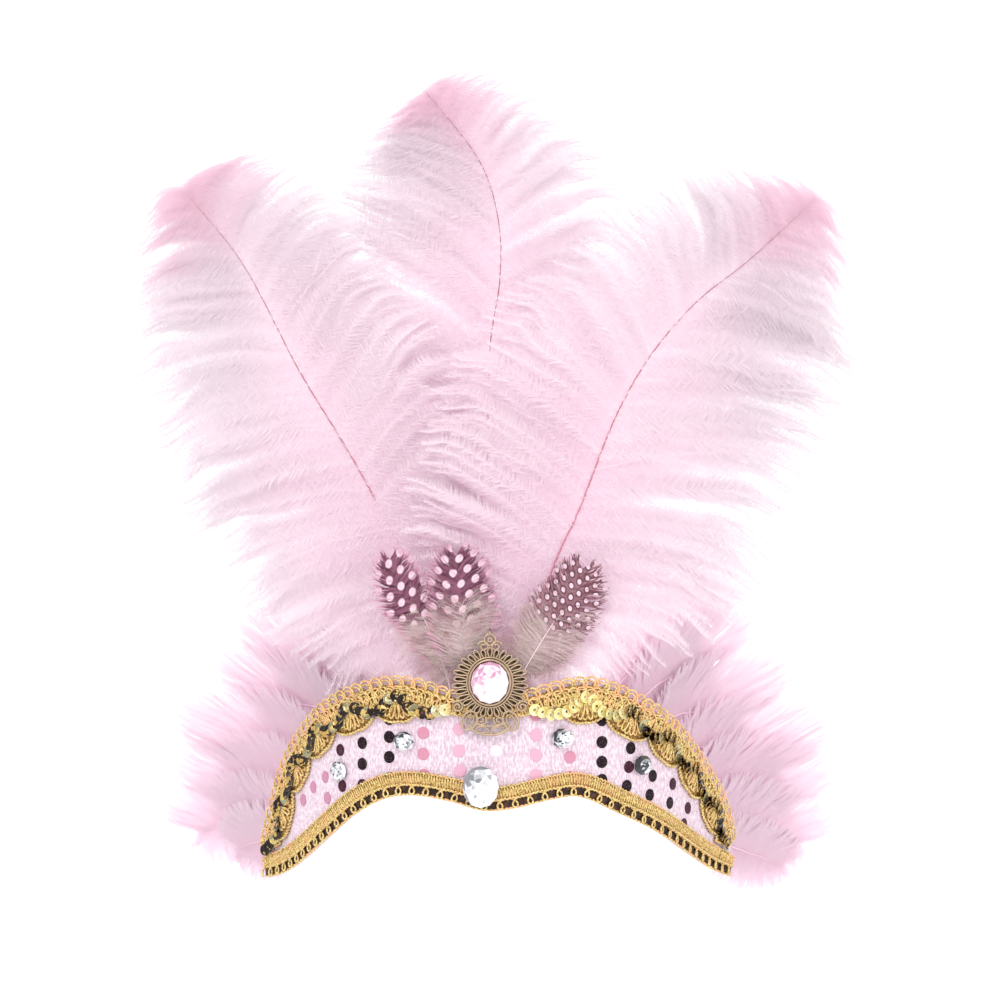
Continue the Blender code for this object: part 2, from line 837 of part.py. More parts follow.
def make_plumes():
    foot = 0.45 * BAND_RISE
    seat = GAP + 0.8 * 0.5 * QUILL_WIDTH
    step = PLUME_FULLNESS + PLUME_DROOP + PLUME_CLEARANCE
    for name, number, shaft, vane, layer in PLUMES:
        pink = finish(name, (0.95, 0.62, 0.76), 0.9, 0.0)
        depth = 0.55 * step + layer * step

        def place(point, fold, share, out, depth=depth):
            lean_back = seat + depth * ease((point.y - foot) / (1.6 * BAND_RISE))
            droop = PLUME_DROOP * (fold / (0.3 * PLUME_REACH)) ** 2
            curl = PLUME_CURL * ease((share - 0.72) / 0.28)
            along = point.x
            behind = BROW_RADIUS - math.sqrt(max(0.0, BROW_RADIUS**2 - along**2))
            near_band = 1.0 - ease((point.y - foot) / BAND_RISE)
            return Vector(
                (along, lean_back + near_band * behind + droop - curl - out, point.y)
            )

        base = Vector((quill_place(number), foot))
        path = [base + Vector(p) * PLUME_REACH for p in shaft]
        look = (pink, 0.5 * PLUME_FULLNESS, 0.5 * QUILL_WIDTH)
        feather(name, path, sized_vane(vane, PLUME_REACH), place, look, 40, 0.12)


def make_spotted_feathers():
    foot = 0.7 * BAND_RISE
    seat = GAP + 0.8 * 0.5 * QUILL_WIDTH
    for name, number, shaft, width, forward_step in SPOTTED_FEATHERS:
        spotted = finish(name, (0.30, 0.14, 0.20), 0.8, 0.0)

        def place(point, fold, share, out, steps=forward_step):
            clear_of_band = ease((point.y - BAND_RISE) / (0.25 * BAND_RISE))
            forward = clear_of_band * (0.0002 + steps * (VANE_WALL + 4 * GAP))
            along = point.x
            behind = BROW_RADIUS - math.sqrt(max(0.0, BROW_RADIUS**2 - along**2))
            near_band = 1.0 - clear_of_band
            return Vector((along, seat + near_band * behind - forward - out, point.y))

        base = Vector((quill_place(number), foot))
        path = [base + Vector(p) * SPOTTED_REACH for p in shaft]
        rows = sized_vane(SPOTTED_VANE, width * SPOTTED_HALF_WIDTH)
        look = (spotted, 0.5 * VANE_WALL, 0.35 * QUILL_WIDTH)
        feather(name, path, rows, place, look, 12, 0.05)


def side_sheet(along, up):
    """How far out the fan of side feathers stands: behind the band, then flaring away from it."""
    width, height = 1.05 * BAND_HALF_LENGTH, 1.81 * BAND_RISE
    past = math.hypot(along / width, (up + 0.83 * BAND_RISE) / height) - 1.1
    flare = SIDE_FLARE * (max(0.0, past) / 0.45) ** 2
    return flare * min(1.0, abs(along) / (1.2 * BAND_HALF_LENGTH)) ** 2


def make_side_feathers():
    quill = 0.3 * QUILL_WIDTH
    seat = GAP + 0.8 * quill
    behind = GAP + VANE_WALL + SIDE_TILT * SIDE_HALF_WIDTH
    for side, side_name, table in (
        (-1, "left", LEFT_SIDE_FEATHERS),
        (1, "right", RIGHT_SIDE_FEATHERS),
    ):
        for number, row in enumerate(table, 1):
            name = f"side_feather_{side_name}_{number}"
            pink = finish(name, (0.95, 0.62, 0.76), 0.9, 0.0)

            def place(point, fold, share, out, side=side):
                settle = ease(share / 0.2)
                away = side_sheet(point.x, point.y) - mix(seat, behind, settle)
                tilt = SIDE_TILT * side * fold * settle
                return on_brow(point.x, point.y, away + tilt + out)

            root_along, root_up, reach_along, reach_up, width, bow = row
            root = Vector((side * root_along * BAND_HALF_LENGTH, root_up * BAND_RISE))
            reach = Vector((side * reach_along, reach_up)) * SIDE_REACH
            upward = Vector((-side * reach.y, side * reach.x)) * bow
            path = [root, root + 0.5 * reach + upward, root + reach]
            rows = sized_vane(SIDE_VANE, width * SIDE_HALF_WIDTH)
            look = (pink, 0.5 * VANE_WALL, quill)
            feather(name, path, rows, place, look, 12, 0.06, full=False)


def main():
    clear_scene()
    make_band()
    make_upper_braid()
    make_lower_braid()
    clear_of_brooch = BROOCH_HALF_WIDTH + 0.6 * SEQUIN_WIDTH
    end = 0.985 * BAND_HALF_LENGTH
    make_sequin_string("sequin_string_left", -end, BROOCH_ALONG - clear_of_brooch)
    make_sequin_string("sequin_string_right", BROOCH_ALONG + clear_of_brooch, end)
    make_brooch()
    make_stones()
    make_plumes()
    make_spotted_feathers()
    make_side_feathers()


main()
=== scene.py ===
# %% [markdown]
# # A carnival feather headdress
# The real thing is a stiff band that bends round the brow. It is covered in pale knitted
# cloth, edged with gold braid, dotted with confetti and stones, and it carries three
# ostrich plumes, three spotted feathers and a fan of soft feathers at each end.
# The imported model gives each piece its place. This script dresses it: everything on the
# band is drawn flat and then bent round the brow, as a maker would sew it, and every
# feather is grown barb by barb along its shaft.

import json
import math

import bpy
import numpy as np
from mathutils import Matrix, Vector

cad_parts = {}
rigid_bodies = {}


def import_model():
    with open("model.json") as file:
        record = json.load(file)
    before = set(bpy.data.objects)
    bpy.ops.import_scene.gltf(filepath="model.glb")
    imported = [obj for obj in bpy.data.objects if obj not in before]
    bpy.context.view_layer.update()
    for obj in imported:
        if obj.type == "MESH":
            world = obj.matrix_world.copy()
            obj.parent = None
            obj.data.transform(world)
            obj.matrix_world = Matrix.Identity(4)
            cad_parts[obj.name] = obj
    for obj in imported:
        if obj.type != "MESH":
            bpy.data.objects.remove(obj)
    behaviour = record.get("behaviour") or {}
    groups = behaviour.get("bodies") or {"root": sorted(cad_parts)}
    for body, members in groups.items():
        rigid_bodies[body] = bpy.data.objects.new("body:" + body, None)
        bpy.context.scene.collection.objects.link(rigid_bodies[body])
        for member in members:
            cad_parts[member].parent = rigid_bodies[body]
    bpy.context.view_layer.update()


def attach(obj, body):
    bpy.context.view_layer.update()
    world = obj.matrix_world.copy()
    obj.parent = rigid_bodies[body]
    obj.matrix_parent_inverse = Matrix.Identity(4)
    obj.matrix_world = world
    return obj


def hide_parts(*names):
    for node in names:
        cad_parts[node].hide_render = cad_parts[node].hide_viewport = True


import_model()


# %% [markdown]
# ## Sizes that the pieces share
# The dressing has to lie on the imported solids, so the band's bend, its two edges and the
# paths of the shafts are repeated here in metres. A size is a share of the band's half
# length or rise, or of a plume's reach, which keeps the tables short.

# %% The band's sizes
GAP = 0.0003
BROW_RADIUS = 0.087
TEMPLE_TURN = math.radians(58.0)
HALF_LENGTH = 0.141
RISE = 0.054
BAND_WALL = 0.0025
BRAID_WALL = 0.0018
END_ROUNDING = 0.006
BRAID_WIDTH = 0.0110
FAN_DEPTH = 0.0075
FAN_PITCH = 0.027
PICOT_PITCH = 0.0052
LOWER_WIDTH = 0.0095
LOOP_PITCH = 0.0062
SEQUIN_WIDTH = 0.0053
SEQUIN_PITCH = 0.0037
SEQUIN_INSET = 0.0100
SEQUIN_SWING = 0.0034
BROOCH = (-0.0032, 0.0535)
BROOCH_HALF = (0.0146, 0.0142)
BROW_STONE = (-0.0068, 0.0097)
QUILL_WIDTH = 0.0022
QUILL_SPACING = 0.0058
EDGE_SAMPLES, UPPER_STEPS, LOWER_STEPS = 401, 1201, 1001

UPPER_EDGE = [
    (-1.00, -0.52), (-0.95, -0.20), (-0.86, 0.24), (-0.70, 0.62), (-0.53, 0.85),
    (-0.36, 0.98), (-0.25, 0.99), (-0.11, 0.89), (0.04, 0.88), (0.20, 0.98),
    (0.30, 0.98), (0.44, 0.85), (0.62, 0.61), (0.79, 0.30), (0.91, 0.00),
    (0.97, -0.24), (1.00, -0.50),
]
LOWER_EDGE = [
    (-1.00, -0.68), (-0.89, -0.63), (-0.78, -0.53), (-0.58, -0.26), (-0.45, -0.05),
    (-0.34, 0.08), (-0.25, 0.11), (-0.14, 0.07), (-0.04, 0.00), (0.05, 0.02),
    (0.15, 0.08), (0.24, 0.10), (0.37, -0.04), (0.50, -0.18), (0.68, -0.39),
    (0.86, -0.58), (1.00, -0.68),
]


# %% Curves, and the bend of the brow
def ease(share):
    share = np.clip(share, 0.0, 1.0)
    return share * share * (3.0 - 2.0 * share)


def smooth(rows, column, at):
    """A column's values at places in the first column, on a smooth curve through the rows."""
    rows = np.array(rows, float)
    x, y = rows[:, 0], rows[:, column]
    at = np.atleast_1d(np.asarray(at, float))
    k = np.clip(np.searchsorted(x, at) - 1, 0, len(x) - 2)
    last = len(x) - 1

    def slope(i):
        low, high = np.maximum(0, i - 1), np.minimum(last, i + 1)
        return (y[high] - y[low]) / (x[high] - x[low])

    step = x[k + 1] - x[k]
    t = np.clip((at - x[k]) / step, 0.0, 1.0)
    straight = y[k] + (y[k + 1] - y[k]) * t * t * (3 - 2 * t)
    return straight + slope(k) * step * t * (1 - t) ** 2 - slope(k + 1) * step * t * t * (1 - t)


def upper_edge(along):
    return RISE * smooth(UPPER_EDGE, 1, along / HALF_LENGTH)


def lower_edge(along):
    return RISE * smooth(LOWER_EDGE, 1, along / HALF_LENGTH)


def on_brow(flat):
    """Bends flat places (along, up, out) round the brow."""
    along, up, out = flat[:, 0], flat[:, 1], flat[:, 2]
    turn = np.clip(along / BROW_RADIUS, -TEMPLE_TURN, TEMPLE_TURN)
    straight = along - turn * BROW_RADIUS
    x = (BROW_RADIUS + out) * np.sin(turn) + straight * np.cos(turn)
    y = BROW_RADIUS - (BROW_RADIUS + out) * np.cos(turn)
    return np.column_stack([x, y + np.abs(straight) * np.sin(np.abs(turn)), up])


def walk(path, count):
    """Places at even steps along a flat path, with the direction of travel and the length."""
    steps = np.diff(path, axis=0)
    lengths = np.concatenate([[0.0], np.cumsum(np.hypot(steps[:, 0], steps[:, 1]))])
    at = np.linspace(0.0, lengths[-1], count)
    places = np.column_stack([np.interp(at, lengths, path[:, i]) for i in (0, 1)])
    travel = np.gradient(places, axis=0)
    travel /= np.linalg.norm(travel, axis=1, keepdims=True)
    return places, travel, lengths[-1]


def edge_path(edge, reach):
    along = np.linspace(-HALF_LENGTH * reach, HALF_LENGTH * reach, EDGE_SAMPLES)
    return np.column_stack([along, edge(along)])


upper_places, upper_travel, upper_length = walk(edge_path(upper_edge, 0.985), UPPER_STEPS)
print("upper edge", round(upper_length, 4), "m along the band")

# %% [markdown]
# ## Two small tools
# Materials and geometry trees are both boards of nodes. `Plug` wraps a socket so that the
# maths reads as sums, and `Board.node` is the one way that any other node is made. That
# keeps each finish down to a few lines that say what it does.


# %% Plugs
class Plug:
    """A socket that can be added, multiplied and so on, each time making the node for it."""

    def __init__(self, board, socket):
        self.board = board
        self.socket = socket

    def out(self, name):
        """Another socket of the same node."""
        found = [s for s in self.socket.node.outputs if s.name == name and usable(s)]
        return Plug(self.board, found[0])

    def made(self, operation, first, second=0.0):
        """The node for a sum of numbers, of vectors, or of a vector and a number."""
        numbers = {0: first, 1: second}
        if operation == "MULTIPLY" and is_vector(first) != is_vector(second):
            vector, number = (first, second) if is_vector(first) else (second, first)
            operation, numbers = "SCALE", {0: vector, "Scale": number}
        kind = "ShaderNodeVectorMath" if is_vector(first) or is_vector(second) else "ShaderNodeMath"
        return self.board.node(kind, {"operation": operation}, numbers)

    def __add__(self, other):
        return self.made("ADD", self, other)

    def __radd__(self, other):
        return self.made("ADD", other, self)

    def __sub__(self, other):
        return self.made("SUBTRACT", self, other)

    def __rsub__(self, other):
        return self.made("SUBTRACT", other, self)

    def __mul__(self, other):
        return self.made("MULTIPLY", self, other)

    def __rmul__(self, other):
        return self.made("MULTIPLY", other, self)

    def __truediv__(self, other):
        return self.made("DIVIDE", self, other)

    def __pow__(self, other):
        return self.made("POWER", self, other)

    def sine(self):
        return self.made("SINE", self)

    def cosine(self):
        return self.made("COSINE", self)

    def fraction(self):
        return self.made("FRACT", self)

    def above(self, level, soft):
        """0 below a level and 1 above it, with a soft edge."""
        return self.board.node(
            "ShaderNodeMapRange",
            {"interpolation_type": "SMOOTHSTEP"},
            {"Value": self, "From Min": level - soft, "From Max": level + soft},
        )


def usable(socket):
    return socket.enabled and not socket.is_unavailable


def is_vector(value):
    if isinstance(value, Plug):
        return value.socket.type in ("VECTOR", "RGBA")
    return isinstance(value, tuple)


# %% Boards
class Board:
    """A tree of nodes."""

    def __init__(self, tree):
        self.tree = tree

    def node(self, kind, settings=None, sockets=None):
        node = self.tree.nodes.new(kind)
        for name, value in (settings or {}).items():
            if name == "stops":
                ramp = node.color_ramp.elements
                while len(ramp) < len(value):
                    ramp.new(0.5)
                for stop, (place, colour) in zip(ramp, value):
                    stop.position, stop.color = place, (*colour, 1.0)
            else:
                setattr(node, name, value)
        for name, value in (sockets or {}).items():
            if isinstance(name, int):
                socket = node.inputs[name]
            else:
                socket = [s for s in node.inputs if s.name == name and usable(s)][0]
            if isinstance(value, Plug):
                self.tree.links.new(value.socket, socket)
            else:
                socket.default_value = value
        outputs = [s for s in node.outputs if usable(s)]
        return Plug(self, outputs[0]) if outputs else None

    def attribute(self, name):
        """A named value that the mesh carries, as a number."""
        return self.node("ShaderNodeAttribute", {"attribute_name": name}).out("Fac")

    def places(self, name):
        """A named place that the mesh carries, as a vector."""
        return self.node("ShaderNodeAttribute", {"attribute_name": name}).out("Vector")

    def part(self, vector, axis):
        """One number of a vector."""
        return self.node("ShaderNodeSeparateXYZ", {}, {0: vector}).out(axis)

    def mix(self, factor, first, second):
        """From one colour to another."""
        return self.node(
            "ShaderNodeMix",
            {"data_type": "RGBA"},
            {0: factor, 6: wide(first), 7: wide(second)},
        ).out("Result")

    def noise(self, scale, detail=2.0, places=None, stretch=(1.0, 1.0, 1.0)):
        if places is None:
            places = self.node("ShaderNodeTexCoord").out("Object")
        if stretch != (1.0, 1.0, 1.0):
            places = self.node("ShaderNodeMapping", {}, {"Vector": places, "Scale": stretch})
        return self.node(
            "ShaderNodeTexNoise", {}, {"Vector": places, "Scale": scale, "Detail": detail}
        ).out("Fac")


# %% Colours and finishes
def wide(colour):
    return (*colour, 1.0) if isinstance(colour, tuple) and len(colour) == 3 else colour


def tint(red, green, blue):
    """A screen colour of 0 to 255 as the light that a material works in."""
    return tuple((c / 255 / 12.92) if c < 11 else ((c / 255 + 0.055) / 1.055) ** 2.4
                 for c in (red, green, blue))


class Finish(Board):
    """A material: sockets of its main shader, and a bump if it has one."""

    def __init__(self, name):
        self.material = bpy.data.materials.new(name)
        self.material.use_nodes = True
        super().__init__(self.material.node_tree)
        self.shader = self.tree.nodes["Principled BSDF"]

    def wear(self, **sockets):
        for name, value in sockets.items():
            socket = self.shader.inputs[name.replace("_", " ")]
            if isinstance(value, Plug):
                self.tree.links.new(value.socket, socket)
            else:
                socket.default_value = wide(value)
        return self

    def bump(self, height, strength, distance):
        normal = self.node(
            "ShaderNodeBump", {}, {"Height": height, "Strength": strength, "Distance": distance}
        )
        self.tree.links.new(normal.socket, self.shader.inputs["Normal"])
        return self

    def let_light_through(self, colour, share):
        """Mixes in the light that shines through a thin feather or cloth."""
        glow = self.node("ShaderNodeBsdfTranslucent", {}, {"Color": wide(colour)})
        both = self.node("ShaderNodeMixShader", {}, {0: share, 2: glow})
        mixer = both.socket.node
        self.tree.links.new(self.shader.outputs[0], mixer.inputs[1])
        self.tree.links.new(mixer.outputs[0], self.tree.nodes["Material Output"].inputs[0])
        return self


def mottled(name, scale, first, second, **sockets):
    """A finish of two tones that a noise mixes."""
    finish = Finish(name)
    return finish.wear(Base_Color=finish.mix(finish.noise(scale), first, second), **sockets)


# %% [markdown]
# ## Growing a mesh with a geometry tree
# What repeats on the real thing is made by trees: loops of cord, sequins, dots and barbs.
# `Grower` starts a tree with named inputs, and `grown` runs it on a starting mesh, keeps
# the plain mesh that comes out and removes the tree's modifier again.


# %% Growers
class Grower(Board):
    """A geometry tree with named inputs. It ends by making instances real and setting the finish."""

    def __init__(self, name, inputs):
        tree = bpy.data.node_groups.new(name, "GeometryNodeTree")
        super().__init__(tree)
        tree.interface.new_socket("Geometry", in_out="INPUT", socket_type="NodeSocketGeometry")
        for label, kind in inputs.items():
            tree.interface.new_socket(label, in_out="INPUT", socket_type="NodeSocket" + kind)
        tree.interface.new_socket("Geometry", in_out="OUTPUT", socket_type="NodeSocketGeometry")
        self.start = self.node("NodeGroupInput")

    def given(self, name):
        return self.start.out(name)

    def carried(self, name, kind="FLOAT"):
        """A named value of the mesh that is being grown on."""
        return self.node("GeometryNodeInputNamedAttribute", {"data_type": kind}, {"Name": name})

    def random(self, low, high, seed, kind="FLOAT"):
        return self.node(
            "FunctionNodeRandomValue", {"data_type": kind}, {"Min": low, "Max": high, "Seed": seed}
        )

    def vector(self, **parts):
        return self.node("ShaderNodeCombineXYZ", {}, parts)

    def path(self, mode, step):
        """The starting line as a curve, in even steps (LENGTH) or in so many points (COUNT)."""
        curve = self.node("GeometryNodeMeshToCurve", {}, {"Mesh": self.given("Geometry")})
        sockets = {"Curve": curve, mode.title(): step}
        return self.node("GeometryNodeResampleCurve", {"mode": mode}, sockets)

    def moved(self, geometry, offset):
        return self.node("GeometryNodeSetPosition", {}, {"Geometry": geometry, "Offset": offset})

    def planted(self, points, instance, **sockets):
        """An instance at every point."""
        sockets.update(Points=points, Instance=instance)
        sockets = {name.replace("_", " "): value for name, value in sockets.items()}
        return self.node("GeometryNodeInstanceOnPoints", {}, sockets)

    def shape_of(self, name):
        """The geometry of an object that is one of the inputs."""
        return self.node("GeometryNodeObjectInfo", {}, {"Object": self.given(name)}).out("Geometry")

    def sideways(self, forward):
        """Square to a direction, in the flat."""
        sockets = {0: (0.0, 0.0, 1.0), 1: forward}
        return self.node("ShaderNodeVectorMath", {"operation": "CROSS_PRODUCT"}, sockets)

    def heading(self, vector):
        """The angle at which a flat vector points."""
        sockets = {0: self.part(vector, "Y"), 1: self.part(vector, "X")}
        return self.node("ShaderNodeMath", {"operation": "ARCTAN2"}, sockets)

    def end(self, geometry):
        real = self.node("GeometryNodeRealizeInstances", {}, {"Geometry": geometry})
        done = self.node(
            "GeometryNodeSetMaterial", {}, {"Geometry": real, "Material": self.given("Finish")}
        )
        self.node("NodeGroupOutput", {}, {0: done})
        return self.tree


# %% The values and places of a mesh
def store(mesh, name, values):
    """Gives a mesh a value, or a place, at each of its points."""
    values = np.asarray(values, np.float32)
    kind, key = ("FLOAT", "value") if values.ndim == 1 else ("FLOAT_VECTOR", "vector")
    layer = mesh.attributes.get(name) or mesh.attributes.new(name, kind, "POINT")
    layer.data.foreach_set(key, values.ravel())


def read(mesh, name="position"):
    """A point value, or the places, of a mesh."""
    layer = mesh.attributes[name]
    if layer.data_type == "FLOAT_VECTOR":
        values = np.empty(len(layer.data) * 3, np.float32)
        layer.data.foreach_get("vector", values)
        return values.reshape(-1, 3).astype(float)
    values = np.empty(len(layer.data), np.float32)
    layer.data.foreach_get("value", values)
    return values.astype(float)


def place_all(mesh, places):
    mesh.attributes["position"].data.foreach_set("vector", np.asarray(places, np.float32).ravel())
    mesh.update()


def bent(mesh, shift=(0.0, 0.0, 0.0)):
    """A flat mesh, shifted along the band and then bent round the brow."""
    place_all(mesh, on_brow(read(mesh) + shift))
    return mesh


def mesh_of(name, points, faces=(), edges=(), finish=None, **values):
    mesh = bpy.data.meshes.new(name)
    points = np.asarray(points, float).tolist()
    mesh.from_pydata(points, [tuple(e) for e in edges], [tuple(f) for f in faces])
    if finish:
        mesh.materials.append(finish.material)
    for label, amounts in values.items():
        store(mesh, label, amounts)
    return mesh


def line_of(name, points, **values):
    """A mesh of points in a row, for a tree to grow on."""
    points = np.asarray(points, float)
    if points.shape[1] == 2:
        points = np.column_stack([points, np.zeros(len(points))])
    edges = [(k, k + 1) for k in range(len(points) - 1)]
    return mesh_of(name, points, edges=edges, **values)


# %% Running a tree
def in_scene(name, mesh):
    piece = bpy.data.objects.new(name, mesh)
    bpy.context.scene.collection.objects.link(piece)
    return piece


def grown(mesh, tree, **inputs):
    """The plain mesh that a tree grows on a starting mesh."""
    start = in_scene("start", mesh)
    modifier = start.modifiers.new("grow", "NODES")
    modifier.node_group = tree
    inputs = {label.replace("_", " "): value for label, value in inputs.items()}
    for item in tree.interface.items_tree:
        if item.item_type == "SOCKET" and item.in_out == "INPUT" and item.name in inputs:
            modifier[item.identifier] = inputs.pop(item.name)
    assert not inputs, inputs
    start.update_tag()
    graph = bpy.context.evaluated_depsgraph_get()
    result = bpy.data.meshes.new_from_object(
        start.evaluated_get(graph), preserve_all_data_layers=True, depsgraph=graph
    )
    start.modifiers.remove(modifier)
    bpy.data.objects.remove(start)
    return result


# %% Finishing a piece
def together(name, meshes, smooth_faces=True):
    """Joins meshes into one object at the origin."""
    pieces = [in_scene(f"{name}_{k}", mesh) for k, mesh in enumerate(meshes)]
    if len(pieces) > 1:
        with bpy.context.temp_override(
            active_object=pieces[0], object=pieces[0], selected_editable_objects=pieces
        ):
            bpy.ops.object.join()
    whole = pieces[0]
    whole.name = name
    whole.data.name = name
    if smooth_faces:
        whole.data.shade_smooth()
    return whole


def triangles(piece):
    return sum(len(face.vertices) - 2 for face in piece.data.polygons)


def settle(piece, slot, *nodes):
    """Attaches a finished piece to the root body, hides the imported nodes that it stands for and prints
    its triangles.
    """
    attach(piece, "root")
    if nodes:
        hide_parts(*nodes)
    print(piece.name, triangles(piece), "triangles")


# %% Rows, skins and round cords
def oval(half_width, half_height, out, count, half_step=0.0):
    """A level row of points once round an oval."""
    a = 2 * math.pi * (np.arange(count) + half_step) / count
    return np.column_stack([half_width * np.cos(a), half_height * np.sin(a), np.full(count, out)])


def skin(count, sides, ring=False):
    """Faces between rows of points that each go once round. The last row meets the first
    one again in a ring, and otherwise both ends are closed."""
    faces = []
    for k in range(count if ring else count - 1):
        here, there = k * sides, (k + 1) % count * sides
        for i in range(sides):
            j = (i + 1) % sides
            faces.append((here + i, there + i, there + j, here + j))
    if not ring:
        faces.append(tuple(range(sides)))
        faces.append(tuple(range(count * sides - 1, (count - 1) * sides - 1, -1)))
    return faces


def tube(path, radius, sides=6, closed=False):
    """Points and faces of a round cord along a 3-D path."""
    path = np.asarray(path, float)
    if closed:
        travel = np.roll(path, -1, axis=0) - np.roll(path, 1, axis=0)
    else:
        travel = np.gradient(path, axis=0)
    travel /= np.linalg.norm(travel, axis=1, keepdims=True) + 1e-12
    across = np.cross(travel, (0.0, 0.0, 1.0))
    across /= np.linalg.norm(across, axis=1, keepdims=True) + 1e-12
    outward = np.cross(across, travel)
    radius = np.broadcast_to(np.asarray(radius, float), (len(path),))[:, None]
    angles = 2 * math.pi * np.arange(sides) / sides
    points = [path + radius * (across * math.cos(a) + outward * math.sin(a)) for a in angles]
    return np.stack(points, axis=1).reshape(-1, 3), skin(len(path), sides, closed)


def gathered(parts):
    """One list of points and faces from many."""
    points, faces, first = [], [], 0
    for some_points, some_faces in parts:
        points.append(some_points)
        faces.extend(tuple(i + first for i in face) for face in some_faces)
        first += len(some_points)
    return np.concatenate(points), faces


# %% [markdown]
# ## Camera, light and floor
# The photograph looks straight at the brow from about 1.6 m, level with the brooch's top.
# Feathers and cut stones need a bright, even light with one darker side: the white sky
# gives the softness, and the dimmer part behind the camera gives the metal and the stones
# something to reflect.

# %% Camera
PIXEL = 0.00042
DISTANCE = 1.6
camera_data = bpy.data.cameras.new("camera")
camera_data.sensor_width = 36.0
camera_data.lens = 36.0 * (DISTANCE - BAND_WALL) / (1000 * PIXEL)
camera = bpy.data.objects.new("camera", camera_data)
camera.location = (2 * PIXEL, -DISTANCE, 0.130)
camera.rotation_euler = (math.radians(90.0), 0.0, 0.0)
bpy.context.scene.collection.objects.link(camera)
bpy.context.scene.camera = camera
bpy.context.scene.view_settings.view_transform = "Standard"

# %% Light
world = bpy.data.worlds.new("studio")
world.use_nodes = True
bpy.context.scene.world = world
sky = Board(world.node_tree)
toward = sky.node("ShaderNodeTexCoord").out("Generated")
depth_share = sky.part(toward, "Y")
height_share = sky.part(toward, "Z")
behind_camera = (0.0 - depth_share).above(0.25, 0.25)
low = (0.0 - height_share).above(0.30, 0.30)
brightness = sky.mix(
    behind_camera * 0.30 + low * 0.35, tint(255, 255, 255), tint(110, 106, 112)
)
background = world.node_tree.nodes["Background"]
world.node_tree.links.new(brightness.socket, background.inputs["Color"])
background.inputs["Strength"].default_value = 1.2


def soft_lamp(name, place, size, power):
    data = bpy.data.lights.new(name, "AREA")
    data.shape = "DISK"
    data.size = size
    data.energy = power
    lamp = bpy.data.objects.new(name, data)
    lamp.location = place
    lamp.rotation_euler = (Vector((0.0, 0.0, 0.12)) - Vector(place)).to_track_quat(
        "-Z", "Y"
    ).to_euler()
    bpy.context.scene.collection.objects.link(lamp)


soft_lamp("key", (-0.7, -1.5, 1.5), 1.0, 17.0)
soft_lamp("fill", (1.5, -1.2, 0.6), 1.2, 7.0)
print("lens", round(camera_data.lens, 1), "mm")

# %% Floor
FLOOR_RADIUS, FLOOR_LEVEL, FLOOR_SIDES = 1.85, -0.34, 64
floor_finish = mottled("studio_floor", 3.0, tint(250, 250, 250), tint(246, 246, 247), Roughness=0.9)
floor_edge = oval(FLOOR_RADIUS, FLOOR_RADIUS, FLOOR_LEVEL, FLOOR_SIDES)
floor_mesh = mesh_of("floor", floor_edge, [tuple(range(FLOOR_SIDES))], finish=floor_finish)
floor = in_scene("floor", floor_mesh)

# %% [markdown]
# ## The band
# The band is buckram or card under a pale lilac jersey. Its cloth could be simulated, but
# it is stretched tight, so a closed shell with softly rounded edges is truer. The ribs of
# the jersey run up the band, so its pattern follows the flat cloth, which each point
# carries as a place of its own.

# %% The jersey finish
jersey = Finish("lilac_jersey")
cloth = jersey.places("flat")
ribs = (jersey.part(cloth, "X") * 5200.0).sine()
stitches = (jersey.part(cloth, "Y") * 4300.0).sine()
grain = jersey.noise(1250.0, 3.0, cloth, (1.0, 0.36, 1.0))
blotch = jersey.noise(60.0, 2.0, cloth)
fleck = jersey.noise(1500.0, 1.0, cloth, (1.0, 0.4, 1.0)).above(0.66, 0.04)
shade = jersey.mix(grain.above(0.52, 0.16), tint(208, 182, 198), tint(247, 232, 240))
shade = jersey.mix(blotch * 0.30, shade, tint(238, 208, 224))
shade = jersey.mix(fleck * 0.45, shade, tint(186, 164, 184))
jersey.wear(Base_Color=shade, Roughness=0.85, Sheen_Weight=0.3)
jersey.bump(ribs * 0.35 + stitches * 0.2 + grain, 0.45, 0.0004)

# %% The band's shell
STATIONS, ACROSS = 181, 20
along = np.linspace(-HALF_LENGTH, HALF_LENGTH, STATIONS)
low_edge, high_edge = lower_edge(along), upper_edge(along)
into_end = np.maximum(0.0, np.abs(along) - (HALF_LENGTH - END_ROUNDING)) / END_ROUNDING
pinch = 0.5 * (high_edge - low_edge) * (1 - np.sqrt(1 - 0.8 * into_end**2))
low_edge, high_edge = low_edge + pinch, high_edge - pinch
rounding = 0.5 * BAND_WALL
bends = np.linspace(0, math.pi, 7)[1:-1]
section = [(share, 0.0, 1.0) for share in np.linspace(0.0, 1.0, ACROSS)]
section += [(1.0, math.sin(a), math.cos(a)) for a in bends]
section += [(share, 0.0, -1.0) for share in np.linspace(1.0, 0.0, ACROSS)]
section += [(0.0, -math.sin(a), -math.cos(a)) for a in bends]
points = []
for s, low_here, high_here in zip(along, low_edge, high_edge):
    for share, edge, face in section:
        up = low_here + rounding + (high_here - low_here - BAND_WALL) * share + edge * rounding
        points.append((s, up, rounding * (1 + face)))
points = np.array(points)
band_mesh = mesh_of("band", on_brow(points), skin(STATIONS, len(section)), finish=jersey, flat=points)
settle(together("jersey_band", [band_mesh]), "band", "band")
